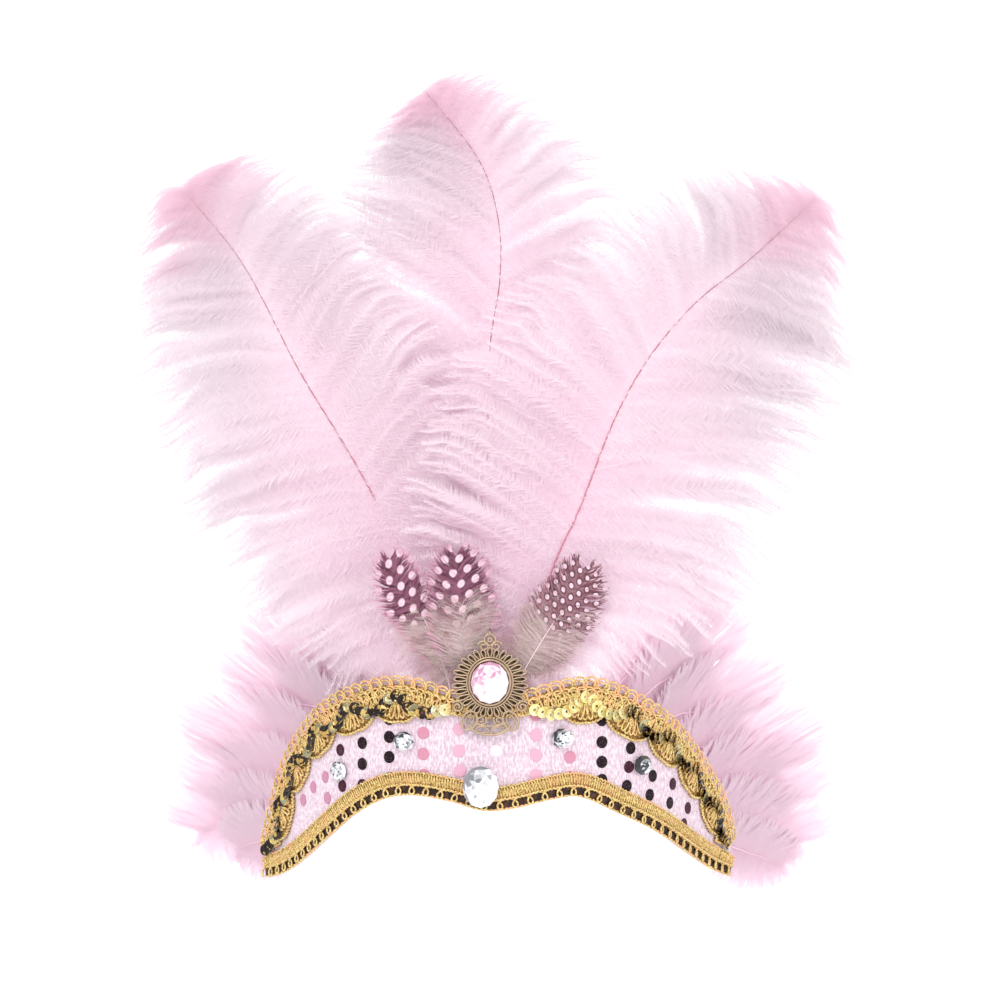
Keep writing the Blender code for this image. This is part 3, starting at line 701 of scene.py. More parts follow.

# %% [markdown]
# ## Confetti dots
# Flat glossy dots are glued on in columns: dark plum at the temples, then rose, then a pink
# so pale that it almost vanishes at the brow. These column colours are partly the dots' own
# and partly a painted reflection of their foil. They could be painted into the cloth, but
# each has a thickness that catches the light, so a tree sets a thin disc at every place.

# %% The dots
# Each is a place on the flat cloth, along and up, and the number of its colour, which holds a painted
# reflection as well as the dot's own colour.
DOT_RADIUS, DOT_WALL, DOT_SIDES, DOT_LIFT = 0.0026, 0.00035, 20, 0.00002
DOTS = [
    (-0.1045, -0.0004, 2), (-0.0852, 0.0108, 2), (-0.0836, 0.0019, 2), (-0.0956, 0.0058, 2),
    (-0.0730, 0.0077, 1), (-0.0743, 0.0230, 1), (-0.0736, 0.0324, 1), (-0.0610, 0.0266, 0),
    (-0.0610, 0.0177, 0), (-0.0610, 0.0087, 1), (-0.0470, 0.0373, 0), (-0.0470, 0.0297, 0),
    (-0.0470, 0.0212, 0), (-0.0465, 0.0123, 1), (-0.0313, 0.0407, 3), (-0.0313, 0.0318, 3),
    (-0.0313, 0.0230, 3), (-0.0309, 0.0141, 3), (-0.0160, 0.0337, 4), (-0.0160, 0.0245, 4),
    (-0.0156, 0.0161, 4), (-0.0008, 0.0246, 5), (-0.0004, 0.0330, 5), (0.0156, 0.0396, 3),
    (0.0156, 0.0312, 4), (0.0156, 0.0228, 4), (0.0156, 0.0144, 4), (0.0300, 0.0217, 3),
    (0.0300, 0.0133, 3), (0.0446, 0.0369, 0), (0.0446, 0.0276, 0), (0.0446, 0.0192, 0),
    (0.0446, 0.0116, 0), (0.0593, 0.0245, 0), (0.0583, 0.0165, 1), (0.0572, 0.0085, 0),
    (0.0723, 0.0120, 0), (0.0704, 0.0040, 0), (0.0868, 0.0077, 1), (0.0844, -0.0003, 0),
    (0.1000, -0.0036, 1), (0.0965, -0.0103, 1),
]
DOT_COLOURS_AND_REFLECTIONS = [
    (26, 8, 16), (64, 20, 38), (196, 136, 164), (208, 142, 164), (224, 172, 194), (246, 224, 236)
]
confetti = Finish("confetti")
kind = confetti.attribute("kind")
ramp = [(k / len(DOT_COLOURS_AND_REFLECTIONS) + 0.001, tint(*colour)) for k, colour in enumerate(DOT_COLOURS_AND_REFLECTIONS)]
speckle = confetti.noise(2500.0).above(0.62, 0.05)
# The colour of each column is the dot's own colour together with a painted reflection of its foil.
dot_colour_and_reflection = confetti.node("ShaderNodeValToRGB", {"stops": ramp}, {0: kind})
dot_colour_and_reflection.socket.node.color_ramp.interpolation = "CONSTANT"
confetti.wear(
    Base_Color=confetti.mix(speckle * 0.12, dot_colour_and_reflection, tint(250, 220, 232)),
    Roughness=0.42, Specular_IOR_Level=0.12,
)
confetti.bump(confetti.noise(700.0), 0.15, 0.0002)

dot_rings = [(0.5, 1.0), (0.93, 1.0), (1.0, 0.6), (1.0, 0.0)]
rows = [oval(DOT_RADIUS * r, DOT_RADIUS * r, DOT_WALL * z, DOT_SIDES) for r, z in dot_rings]
dot = in_scene("dot", mesh_of("dot", np.concatenate(rows), skin(len(rows), DOT_SIDES)))

scatter = Grower("dots_on_cloth", {"Dot": "Object", "Lift": "Float", "Finish": "Material"})
raised = scatter.moved(scatter.given("Geometry"), scatter.vector(Z=scatter.given("Lift")))
dot_points = scatter.node("GeometryNodeMeshToPoints", {}, {"Mesh": raised})
scattering = scatter.end(scatter.planted(dot_points, scatter.shape_of("Dot")))
places = np.array([(s, up, 0.0) for s, up, _ in DOTS])
seeds = mesh_of("dot_places", places, kind=[(k + 0.5) / len(DOT_COLOURS_AND_REFLECTIONS) for _, _, k in DOTS])
dots = grown(seeds, scattering, Dot=dot, Lift=BAND_WALL + DOT_LIFT, Finish=confetti.material)
bpy.data.objects.remove(dot)
settle(together("confetti_dots", [bent(dots)], False), "band", "band")

# %% [markdown]
# ## Gold braid
# The upper braid is a lace of gold gimp: loops of cord along its top, a tangle of curls
# along its middle, and a scallop of nested loops for each fan. Each cord is a path that
# curls as it goes, so one tree turns any path into a curling cord. It could be a flat strip
# with a bump, but the cords cast small shadows that make it look like braid.

# %% The gold thread finish


def gold_thread(name, warm):
    gold = Finish(name)
    twist = gold.noise(1500.0, 2.0)
    patch = gold.noise(140.0, 2.0)
    shade = gold.mix(twist.above(0.46, 0.16), tint(164, 116, 52), tint(250, 224, 150))
    shade = gold.mix(patch.above(0.55, 0.12) * warm, shade, tint(244, 186, 134))
    gold.wear(Base_Color=shade, Roughness=0.38, Metallic=0.30, Specular_IOR_Level=0.7)
    return gold.bump(twist, 0.5, 0.0003)


gold_cord = gold_thread("gold_gimp", 0.35)
peach_cord = gold_thread("peach_gimp", 0.95)
thin_cord = gold_thread("gold_edging", 0.15)
# The bed under the cords mixes gold weave with dark brown. The dark brown is painted shade in the gaps
# between the cords.
bed = Finish("braid_bed")
weave_and_shade_mask = bed.noise(1100.0, 3.0)
bed.wear(
    Base_Color=bed.mix(weave_and_shade_mask.above(0.5, 0.15), tint(92, 56, 20), tint(204, 158, 82)),
    Roughness=0.5, Metallic=0.2,
)
bed.bump(weave_and_shade_mask, 0.8, 0.0006)

# %% The tree for curling cords
curl = Grower(
    "curling_cord",
    {
        "Step": "Float", "Pitch": "Float", "Wide": "Float", "Tall": "Float",
        "Cord": "Float", "Lift": "Float", "Sides": "Int", "Finish": "Material",
    },
)
fine_path = curl.path("LENGTH", curl.given("Step"))
phase = curl.node("GeometryNodeSplineParameter").out("Length") / curl.given("Pitch") * (2 * math.pi)
forward = curl.node("GeometryNodeInputTangent")
offset = (
    curl.sideways(forward) * (curl.given("Tall") * phase.cosine())
    + forward * (curl.given("Wide") * phase.sine())
    + curl.vector(Z=curl.given("Lift") + curl.given("Cord") * 0.8 * (phase + 0.9).sine())
)
profile = curl.node(
    "GeometryNodeCurvePrimitiveCircle", {"mode": "RADIUS"},
    {"Resolution": curl.given("Sides"), "Radius": curl.given("Cord")},
)
curling = curl.end(
    curl.node(
        "GeometryNodeCurveToMesh", {},
        {"Curve": curl.moved(fine_path, offset), "Profile Curve": profile, "Fill Caps": True},
    )
)

# %% The upper braid
count = len(upper_places)
inward = np.column_stack([upper_travel[:, 1], -upper_travel[:, 0]])
from_middle = (np.arange(count) / (count - 1) - 0.5) * upper_length
in_fan = (from_middle / FAN_PITCH) % 1.0


def room_below(places, inward):
    """How far each place may reach in before it meets the lower braid."""
    reach = np.zeros(len(places))
    open_way = np.ones(len(places), bool)
    for step in np.arange(0.0005, BRAID_WIDTH + FAN_DEPTH, 0.0005):
        probe = places + inward * step
        open_way &= probe[:, 1] > lower_edge(probe[:, 0]) + 1.25 * LOWER_WIDTH
        reach[open_way] = step
    return reach


room = room_below(upper_places, inward)
braid_depth = BRAID_WIDTH + FAN_DEPTH * np.sqrt(1 - (2 * in_fan - 1) ** 2)
# the braid runs plain behind the brooch, and the fans begin a pitch away from the middle
PLAIN_WIDTH = 0.0088
fans_begin = ease((np.abs(from_middle) - 0.97 * FAN_PITCH) / 0.0015)
braid_depth = PLAIN_WIDTH + (braid_depth - PLAIN_WIDTH) * fans_begin
braid_depth = np.maximum(0.3 * BRAID_WIDTH, np.minimum(braid_depth, room))
base = BAND_WALL + GAP
PATH_STEP = 4


def inset_path(inset):
    """A path that runs inside the upper edge by a distance."""
    return (upper_places + inward * np.reshape(inset, (-1, 1)))[::PATH_STEP]


# %% Strips and cords on the band
def flat_strip(near, far, wall, finish, name):
    """A low closed strip on the band between two flat paths, domed a little across."""
    levels = [(0.0, 0.0), (0.0, 0.6), (0.15, 1.0), (0.5, 1.0), (0.85, 1.0), (1.0, 0.6), (1.0, 0.0)]
    rows = [
        np.column_stack([near + (far - near) * share, np.full(len(near), base + wall * lift)])
        for share, lift in levels
    ]
    points = np.stack(rows, axis=1).reshape(-1, 3)
    return mesh_of(name, points, skin(len(near), len(levels)), finish=finish)


def cord_mesh(path, finish, lift, **sizes):
    """A cord on the band, this far out, that curls by its Wide and Tall at every Pitch."""
    options = dict(Step=0.0004, Pitch=0.004, Wide=0.0, Tall=0.0, Cord=0.00045, Sides=5)
    options.update(sizes, Lift=base + lift, Finish=finish.material)
    return grown(line_of("cord", path), curling, **options)


# %% The cords of the upper braid
tangle, curls = np.minimum(0.0076, braid_depth - 0.002), np.minimum(0.0062, braid_depth - 0.003)
picots = dict(Pitch=PICOT_PITCH, Wide=0.0019, Tall=0.0024, Sides=6)
braid = [
    flat_strip(inset_path(braid_depth - 0.0010), inset_path(0.0016), 0.0008, bed, "bed"),
    cord_mesh(inset_path(0.0005), peach_cord, 0.0012, **picots),
    cord_mesh(
        inset_path(0.0017)[3:], gold_cord, 0.0007, Pitch=PICOT_PITCH, Wide=0.0016, Tall=0.0021, Cord=0.00042
    ),
    cord_mesh(inset_path(0.0045), peach_cord, 0.0013, Pitch=0.0034, Wide=0.0017, Tall=0.0022),
    cord_mesh(inset_path(tangle), gold_cord, 0.0013, Pitch=0.0029, Wide=-0.0016, Tall=0.0020),
    cord_mesh(inset_path(curls), gold_cord, 0.0017, Pitch=0.0041, Wide=0.0021, Tall=0.0030, Cord=0.0004),
]
print("braid cords", [len(mesh.polygons) for mesh in braid])

# %% The fans of the upper braid
# Each fan is nested loops that spread from a root on the braid to a scalloped rim.
FAN_LOOPS, FAN_SWING, FAN_CORD, END_STEPS = 13, 78, 0.00046, 12
fan_parts = []
turn = np.linspace(0, 2 * math.pi, 17)[:-1]
bulge = 0.0014375 * (0.35 + 0.65 * (0.5 - 0.5 * np.cos(turn)) ** 0.5)
fan_count = int(upper_length / FAN_PITCH / 2) + 1
for number in range(-fan_count, fan_count):
    centre = (number + 0.5) * FAN_PITCH
    k = int(round((centre / upper_length + 0.5) * (count - 1)))
    if not END_STEPS < k < count - END_STEPS or abs(centre) < FAN_PITCH:
        continue
    down, right, depth = inward[k], upper_travel[k], braid_depth[k]
    root = upper_places[k] + down * min(0.004, 0.3 * depth)
    for loop in range(FAN_LOOPS):
        angle = math.radians(FAN_SWING * (2 * loop / (FAN_LOOPS - 1) - 1))
        rim = right * math.sin(angle) * 0.47 * FAN_PITCH + down * math.cos(angle) * 0.73 * depth
        reach = np.linalg.norm(rim)
        rim /= reach
        beside = np.array([-rim[1], rim[0]])
        middle, half = 0.61 * reach - 0.0005, 0.39 * reach - 0.0004
        flat = root + rim * (middle - half * np.cos(turn))[:, None]
        flat = flat + beside * (bulge * np.sin(turn))[:, None]
        lift = base + 0.0010 + 0.0004 * (loop % 2) + 0.0003 * np.sin(turn + loop)
        fan_parts.append(tube(np.column_stack([flat, lift]), FAN_CORD, 5, closed=True))
points, faces = gathered(fan_parts)
braid.append(mesh_of("fans", points, faces, finish=gold_cord))
scalloped_rim = dict(Step=0.0006, Pitch=0.0017, Tall=0.00022, Cord=0.00058)
braid.append(cord_mesh(inset_path(braid_depth - 0.0005), thin_cord, 0.0008, **scalloped_rim))
settle(together("upper_gimp_braid", [bent(mesh) for mesh in braid]), "upper_braid", "upper_braid")

# %% [markdown]
# ## The lower braid
# Along the lower edge runs a ribbed gimp, wound so that its threads stand across it, with a
# row of open wire loops below and a dark ribbon behind them. The ribs are one cord that
# zigzags, which is how such gimp is wound, and the loops come from the same curling tree.

# %% The lower braid
lower_places, lower_travel, lower_length = walk(edge_path(lower_edge, 0.975), LOWER_STEPS)
print("lower edge", round(lower_length, 4), "m along the band")
upward = np.column_stack([-lower_travel[:, 1], lower_travel[:, 0]])
from_end = np.minimum(np.arange(LOWER_STEPS), np.arange(LOWER_STEPS)[::-1])
lower_width = LOWER_WIDTH * (0.8 + 0.2 * np.minimum(1.0, from_end / 20.0))


def raised_path(amount):
    """A path that runs above the lower edge by a distance."""
    return (lower_places + upward * np.reshape(amount, (-1, 1)))[::PATH_STEP]


ribbon = Finish("dark_ribbon")
ribbon.wear(
    Base_Color=ribbon.mix(ribbon.noise(400.0).above(0.55, 0.1), tint(34, 16, 10), tint(84, 48, 24)),
    Roughness=0.4, Metallic=0.3,
)
ribbon.bump(ribbon.noise(1500.0), 0.4, 0.0003)
ribs = dict(Step=0.00022, Pitch=0.00115, Tall=0.0027, Cord=0.00036, Sides=4)
loops = dict(Step=0.00045, Pitch=LOOP_PITCH, Wide=-0.0024, Tall=-0.0021)
lower_lace = [
    flat_strip(raised_path(-0.0003), raised_path(0.0042), 0.0004, ribbon, "ribbon"),
    flat_strip(raised_path(0.0038), raised_path(lower_width), 0.0008, bed, "gimp_bed_painted_shade"),
    cord_mesh(raised_path(0.5 * (0.0036 + lower_width)), gold_cord, 0.0010, **ribs),
    cord_mesh(raised_path(0.0040), gold_cord, 0.0011, Step=0.0005, Pitch=0.0017, Tall=0.0003, Cord=0.0005),
    cord_mesh(
        raised_path(lower_width - 0.0003), peach_cord, 0.0011, Step=0.0005, Pitch=0.0019, Tall=0.0003,
        Cord=0.0004,
    ),
    cord_mesh(raised_path(0.0021), thin_cord, 0.0011, **loops),
    cord_mesh(
        raised_path(-0.0001), peach_cord, 0.0002, Step=0.0008, Pitch=0.0021, Tall=0.00012, Cord=0.0005
    ),
]
settle(together("lower_gimp_braid", [bent(mesh) for mesh in lower_lace]), "lower_braid", "lower_braid")

# %% [markdown]
# ## Strings of cup sequins
# Cup sequins are threaded so that each leans on the next. They wander over the fans, pale
# gold near the brooch and dark bronze towards the temples. The tree sets a cupped disc at
# every step of the thread's path, turns it along the path and leans it by a seeded amount.

# %% The sequin finish and one cup
sequin_gloss = Finish("sequin_gloss")
paleness = sequin_gloss.attribute("pale")
glints_and_mottle = sequin_gloss.noise(320.0, 1.0)
# On the dark sequins the noise sets gold spots on dark bronze: these are painted highlights. On the pale
# sequins it mixes two golds at random.
sequin_gloss.wear(
    Base_Color=sequin_gloss.mix(
        paleness, sequin_gloss.mix(glints_and_mottle.above(0.58, 0.03), tint(32, 16, 7), tint(206, 168, 92)),
        sequin_gloss.mix(glints_and_mottle.above(0.55, 0.2), tint(250, 246, 196), tint(240, 222, 134)),
    ),
    Roughness=0.16, Metallic=0.70 - paleness * 0.40, Coat_Weight=0.35,
)
CUP_SIDES, CUP_DEPTH, CUP_WALL = 12, 0.42, 0.09
rings = [(0.22, 0.26), (0.46, 0.20), (0.60, 0.04), (0.90, 0.50), (1.0, 0.58)]
front = [oval(r, r, CUP_DEPTH * z, CUP_SIDES) for r, z in rings]
back = [oval(r, r, CUP_DEPTH * z - CUP_WALL, CUP_SIDES) for r, z in reversed(rings)]
cup_faces = skin(2 * len(rings), CUP_SIDES, ring=True)
cup = in_scene("cup", mesh_of("cup", np.concatenate(front + back), cup_faces))

# %% The tree for threaded sequins
threaded = Grower(
    "threaded_sequins",
    {
        "Cup": "Object", "Spacing": "Float", "Radius": "Float", "Lean": "Float",
        "Lift": "Float", "Seed": "Int", "Finish": "Material",
    },
)
thread = threaded.path("LENGTH", threaded.given("Spacing"))
lean, seed = threaded.given("Lean"), threaded.given("Seed")
turn = threaded.vector(
    X=threaded.random(-0.25, 0.25, seed) * lean * 2.0,
    Y=lean * threaded.random(0.5, 1.2, seed + 3.0),
    Z=threaded.heading(threaded.node("GeometryNodeInputTangent")),
)
lifted = threaded.moved(thread, threaded.vector(Z=threaded.given("Lift")))
threading = threaded.end(
    threaded.planted(lifted, threaded.shape_of("Cup"), Rotation=turn, Scale=threaded.given("Radius"))
)

# %% The two strings
swing = SEQUIN_SWING * np.cos(2 * math.pi * in_fan)
inset = np.minimum(SEQUIN_INSET + swing, 0.5 * (room + SEQUIN_WIDTH))
thread_path = upper_places + inward * inset[:, None]
clear = BROOCH_HALF[0] + 0.6 * SEQUIN_WIDTH
on_braid = base + GAP + BRAID_WALL
# For each string: its side and seed, how pale it is near the brooch, to where and how fast
# it fades, and how pale the odd sequin among the dark ones is, how often, how seldom.
STRINGS = [
    ("sequin_string_left", -1, 3, (0.9, 0.020, 0.008), (0.35, 310, 0.96)),
    ("sequin_string_right", 1, 5, (1.0, 0.048, 0.010), (0.5, 270, 0.95)),
]
for name, side, seed, (palest, pale_end, fade), (odd, beat, seldom) in STRINGS:
    path = thread_path[side * (thread_path[:, 0] - BROOCH[0]) >= clear][::3]
    pale = palest * (1 - ease((side * path[:, 0] - pale_end) / fade))
    pale += odd * (np.abs(np.sin(path[:, 0] * beat)) > seldom)
    string = grown(
        line_of("thread", path, pale=np.clip(pale, 0, 1)), threading, Cup=cup,
        Spacing=SEQUIN_PITCH * 0.92, Radius=0.5 * SEQUIN_WIDTH, Lean=0.42,
        Lift=on_braid - 0.0002, Seed=seed, Finish=sequin_gloss.material,
    )
    settle(together(name + "_cups", [bent(string)]), name, name)
bpy.data.objects.remove(cup)

# %% [markdown]
# ## The brooch
# The brooch is a thin brass stamping, darkened and then rubbed bright on its ridges: a ring
# of narrow petals round the stone, scrolls at the sides, two drops and a crescent below,
# and a small finial above. Each line of it is a wire here, because the ridges are what
# shows, and a dark plate stands behind the petals as the stamping's recess does. The brass
# is painted lighter where a wire stands out front, partly as rubbed metal and partly as a
# painted highlight.

# %% Antique brass
brass = Finish("antique_brass")
proud = brass.attribute("proud")
rub = brass.noise(600.0, 3.0)
# Lighter where a wire stands out front and where the noise rubs it: partly rubbed brass, partly a painted
# highlight. Darker behind as patina in the hollows.
rubbed_and_highlight_mask = (proud + (rub - 0.5) * 0.9).above(0.62, 0.24)
brass.wear(
    Base_Color=brass.mix(rubbed_and_highlight_mask, tint(62, 44, 36), tint(196, 170, 142)),
    Roughness=0.36, Metallic=0.65,
)
brass.bump(rub, 0.25, 0.0002)
recess = mottled(
    "brass_recess", 700.0, tint(58, 44, 30), tint(104, 84, 58), Roughness=0.5, Metallic=0.7
)
recess.bump(recess.noise(1200.0), 0.4, 0.0002)


# %% Wires, ovals and scrolls
def wire(flat, radius=0.00034, closed=True, lift=0.0, sides=7):
    """A wire of the brooch: a flat path becomes a round cord that lies on the back plane."""
    flat = np.asarray(flat, float)
    height = np.full(len(flat), lift + radius)
    points, faces = tube(np.column_stack([flat, height]), radius, sides, closed)
    share = (points[:, 2] - lift) / (2 * np.max(radius))
    return points, faces, share


def ring(centre, half_width, half_height, count=28, tilt=0.0, start=0.0, sweep=2 * math.pi):
    """An oval path, or a part of one."""
    a = start + np.linspace(0, sweep, count, endpoint=sweep < 6.28)
    x, y = half_width * np.cos(a), half_height * np.sin(a)
    c, s = math.cos(math.radians(tilt)), math.sin(math.radians(tilt))
    return np.column_stack([centre[0] + x * c - y * s, centre[1] + x * s + y * c])


def scroll(centre, size, turns_of, facing, start):
    """A spiral path."""
    a = np.linspace(0, turns_of * 2 * math.pi, 34)
    r = size * (1 - 0.78 * a / a[-1])
    return np.column_stack(
        [centre[0] + facing * r * np.cos(a + start), centre[1] + r * np.sin(a + start)]
    )


# %% The lines of the brooch
PETALS, PETAL_CORD = 30, 0.00033
w, h = BROOCH_HALF
wires = []
t = np.linspace(0, 2 * math.pi, 18, endpoint=False)
reach = 0.5 - 0.5 * np.cos(t)
width = 0.00118 * (0.30 + 0.70 * reach**0.8)
for k in range(PETALS):
    a = 2 * math.pi * (k + 0.5) / PETALS
    inner = np.array([0.0086 * math.cos(a), 0.0101 * math.sin(a)])
    outer = np.array([w * math.cos(a), h * math.sin(a)]) * (1.03 if k % 2 else 0.98)
    axis = outer - inner
    beside = np.array([-axis[1], axis[0]]) / np.linalg.norm(axis)
    path = inner + axis * reach[:, None] + beside * (width * np.sin(t))[:, None]
    wires.append(wire(path, PETAL_CORD, lift=0.00052))
for size in (0.0082, 0.0090):
    wires.append(wire(ring((0, 0), size, size * 1.17, 40), 0.0004, lift=0.0009))

# Places and sizes are shares of the brooch's half width and half height, then comes the cord.
SCROLLS = [
    (0.88, -0.72, 0.17, 1.6, 0.6, 0.00046), (0.24, -1.12, 0.15, 1.5, 2.4, 0.00044),
    (0.17, 1.07, 0.16, 1.4, 0.2, 0.00042),
]
DROPS = [
    (0.56, -1.13, 0.20, 0.29, 22, 0.00050), (0.56, -1.13, 0.11, 0.18, 22, 0.00034),
    (0.21, -1.40, 0.17, 0.09, 8, 0.00036),
]
CRESCENTS = [(-1.22, 0.54, 0.33, 30, 0.00055), (-1.16, 0.42, 0.13, 24, 0.00042)]
for side in (-1, 1):
    for x, y, size, turns_of, start, cord in SCROLLS:
        wires.append(wire(scroll((side * x * w, y * h), size * w, turns_of, side, start), cord, False))
    for x, y, half_width, half_height, tilt, cord in DROPS:
        drop = ring((side * x * w, y * h), half_width * w, half_height * h, tilt=side * tilt)
        wires.append(wire(drop, cord))
half_round = dict(start=math.pi * 1.03, sweep=math.pi * 0.94)
for y, half_width, half_height, steps, cord in CRESCENTS:
    wires.append(wire(ring((0, y * h), half_width * w, half_height * h, steps, **half_round), cord, False))
wires.append(wire(ring((0, 1.26 * h), 0.15 * w, 0.17 * h), 0.00044))
wires.append(wire(ring((0, 1.26 * h), 0.05 * w, 0.06 * h, 12), 0.0004, lift=0.0003))
spike = [(0, 1.42 * h), (0, 1.50 * h), (0, 1.60 * h)]
wires.append(wire(spike, np.array([0.0006, 0.00045, 0.0002]), False))
points, faces = gathered([(p, f) for p, f, _ in wires])
proudness = np.concatenate([share for _, _, share in wires])
brooch_meshes = [mesh_of("wires", points, faces, finish=brass, proud=proudness)]

# %% The brooch's plate and bezel
PLATE_WALL, HOLE, BEZEL_SIDES = 0.0005, (0.0075, 0.0088), 40
n = 2 * PETALS
scallop = 0.90 + 0.06 * np.cos(math.pi * np.arange(n) - math.pi)
scallop = np.column_stack([scallop, scallop, np.ones(n)])
rows = [
    oval(*HOLE, 0.0, n), oval(w, h, 0.0, n) * scallop, oval(w, h, PLATE_WALL, n) * scallop,
    oval(*HOLE, PLATE_WALL, n),
]
plate_faces = skin(len(rows), n, ring=True)
brooch_meshes.append(mesh_of("plate", np.concatenate(rows), plate_faces, finish=recess))
# Each bezel row: its size as a share, how far out it stands, and how much its brass is painted lighter,
# partly as rubbed metal and partly as highlight.
BEZEL = [
    (1.015, 0.0005, 0.1), (1.13, 0.0005, 0.2), (1.13, 0.0022, 0.7), (1.07, 0.0028, 1.0),
    (1.015, 0.0024, 0.4),
]
rows = [oval(0.0073 * r, 0.00885 * r, z, BEZEL_SIDES) for r, z, _ in BEZEL]
bezel_faces = skin(len(rows), BEZEL_SIDES, ring=True)
shine = np.repeat([proud_here for _, _, proud_here in BEZEL], BEZEL_SIDES)
brooch_meshes.append(mesh_of("bezel", np.concatenate(rows), bezel_faces, finish=brass, proud=shine))
brooch_meshes = [bent(mesh, (*BROOCH, on_braid)) for mesh in brooch_meshes]
settle(together("filigree_brooch", brooch_meshes), "brooch", "brooch")

# %% [markdown]
# ## Cut stones
# The stones are pressed acrylic with a silvered back, so what shows is a patchwork of
# bright and dark facets. Clear glass would need many bounces of light. Here each facet is
# a real flat face under a glossy coat, and its foil colour is a painted reflection:
# lighter towards the lower right, darker towards the upper left and round the rim, with
# a random share, and the table has a painted tone of its own.

# %% Foil-backed stones


def foil(name, light, middle, dark):
    stone = Finish(name)
    facet = stone.attribute("facet")
    veil = stone.noise(500.0, 1.0)
    # The painted reflection tone of each facet picks its colour from dark through middle to light.
    shade = stone.node(
        "ShaderNodeValToRGB",
        {"stops": [(0.0, dark), (0.14, dark), (0.30, middle), (0.50, light), (1.0, light)]},
        {0: facet + (veil - 0.5) * 0.10},
    )
    stone.wear(Base_Color=shade, Roughness=0.08, Metallic=0.15, Coat_Weight=0.6)
    stone.shader.inputs["Coat Roughness"].default_value = 0.03
    return stone


clear_stone = foil("clear_stone", tint(248, 248, 251), tint(196, 200, 210), tint(40, 40, 46))
brow_foil = foil("brow_foil", tint(248, 248, 251), tint(208, 209, 214), tint(136, 137, 144))
pink_stone = foil("pink_stone", tint(255, 247, 251), tint(249, 214, 229), tint(206, 150, 178))


# %% Cutting a stone
def stone_mesh(name, centre, size, back, sides, finish, table_reflection, bias, seed):
    """A cut stone with flat facets, each with a painted reflection tone of its own."""
    width, height, depth = size
    levels = [(0.88, 0.0, 0.0), (1.0, 0.24, 0.0), (1.0, 0.32, 0.0), (0.86, 0.60, 0.5),
              (0.66, 0.82, 0.0), (0.44, 0.94, 0.5), (0.24, 1.0, 0.0)]
    rows = [
        oval(0.5 * width * share, 0.5 * height * share, back + depth * lift, sides, half) + (*centre, 0.0)
        for share, lift, half in levels
    ]
    ring_points = np.concatenate(rows)
    faces = [tuple(range(sides - 1, -1, -1))]
    for k in range(len(levels) - 1):
        half_turn = levels[k][2] != levels[k + 1][2]
        up_first = levels[k][2] > levels[k + 1][2]
        for i in range(sides):
            j = (i + 1) % sides
            a, b, c, d = k * sides + i, k * sides + j, (k + 1) * sides + j, (k + 1) * sides + i
            if not half_turn:
                faces.append((a, b, c, d))
            elif up_first:
                faces.extend([(a, c, d), (a, b, c)])
            else:
                faces.extend([(a, b, d), (b, c, d)])
    faces.append(tuple(range((len(levels) - 1) * sides, len(levels) * sides)))
    chance = np.random.default_rng(seed)
    points, loose, painted_tones = [], [], []
    for face in faces:
        first = len(points)
        corners = ring_points[list(face)]
        points.extend(corners)
        loose.append(tuple(range(first, first + len(face))))
        side = (corners.mean(axis=0)[:2] - centre) / (0.5 * width)
        # Painted reflection: facets lighter towards the lower right, darker towards the upper left and
        # round the rim, with a random share.
        tone = 0.52 + 0.34 * (0.7 * side[0] - 0.7 * side[1]) - 0.16 * np.linalg.norm(side)
        tone += chance.uniform(-0.30, 0.30) + bias
        painted_tones.extend([table_reflection if len(face) == sides else tone] * len(face))
    return mesh_of(name, on_brow(np.array(points)), loose, finish=finish, facet=painted_tones)


# %% The six stones
# Name, centre, size, how far out its back is, sides, finish, the table's painted reflection tone, and the
# bias and seed of the facets' painted reflection tones.
BROOCH_STONE_SIZE, BROW_STONE_SIZE = (0.0146, 0.0177, 0.0046), (0.0143, 0.0177, 0.0045)
SIDE_STONE_SIZE = (0.0098, 0.0086, 0.0032)
on_cloth, on_gimp, in_bezel = BAND_WALL + 2 * GAP, base + 2 * GAP + BRAID_WALL, on_braid + GAP + 0.0014
STONES = [
    ("brooch_stone", BROOCH, BROOCH_STONE_SIZE, in_bezel, 12, pink_stone, 0.9, 0.0, 4),
    ("brow_stone", BROW_STONE, BROW_STONE_SIZE, on_gimp, 12, brow_foil, 0.8, -0.02, 9),
]
SIDE_STONES = [
    (-0.525, 0.26, 0.3, -0.14, 12), (-0.28, 0.52, 0.9, -0.12, 21), (0.188, 0.55, 0.9, -0.10, 33),
    (0.462, 0.315, 0.1, -0.24, 40),
]
for number, (s, up, *painted_tones) in enumerate(SIDE_STONES, 1):
    centre = (s * HALF_LENGTH, up * RISE)
    STONES.append((f"side_stone_{number}", centre, SIDE_STONE_SIZE, on_cloth, 10, clear_stone, *painted_tones))
for name, *cut in STONES:
    settle(together(name + "_cut", [stone_mesh(name, *cut)], False), name, name)

# %% [markdown]
# ## Feathers
# An ostrich barb is a thread with long loose barbules, a flat feather's barb is a narrow
# ribbon. Each feather is a flat drawing first: a shaft path and the reach and lean of its
# barbs along it. One tree sets barbs on both sides of a shaft, and the result is then
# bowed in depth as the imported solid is. Hair could make it too, but the export keeps only
# meshes.


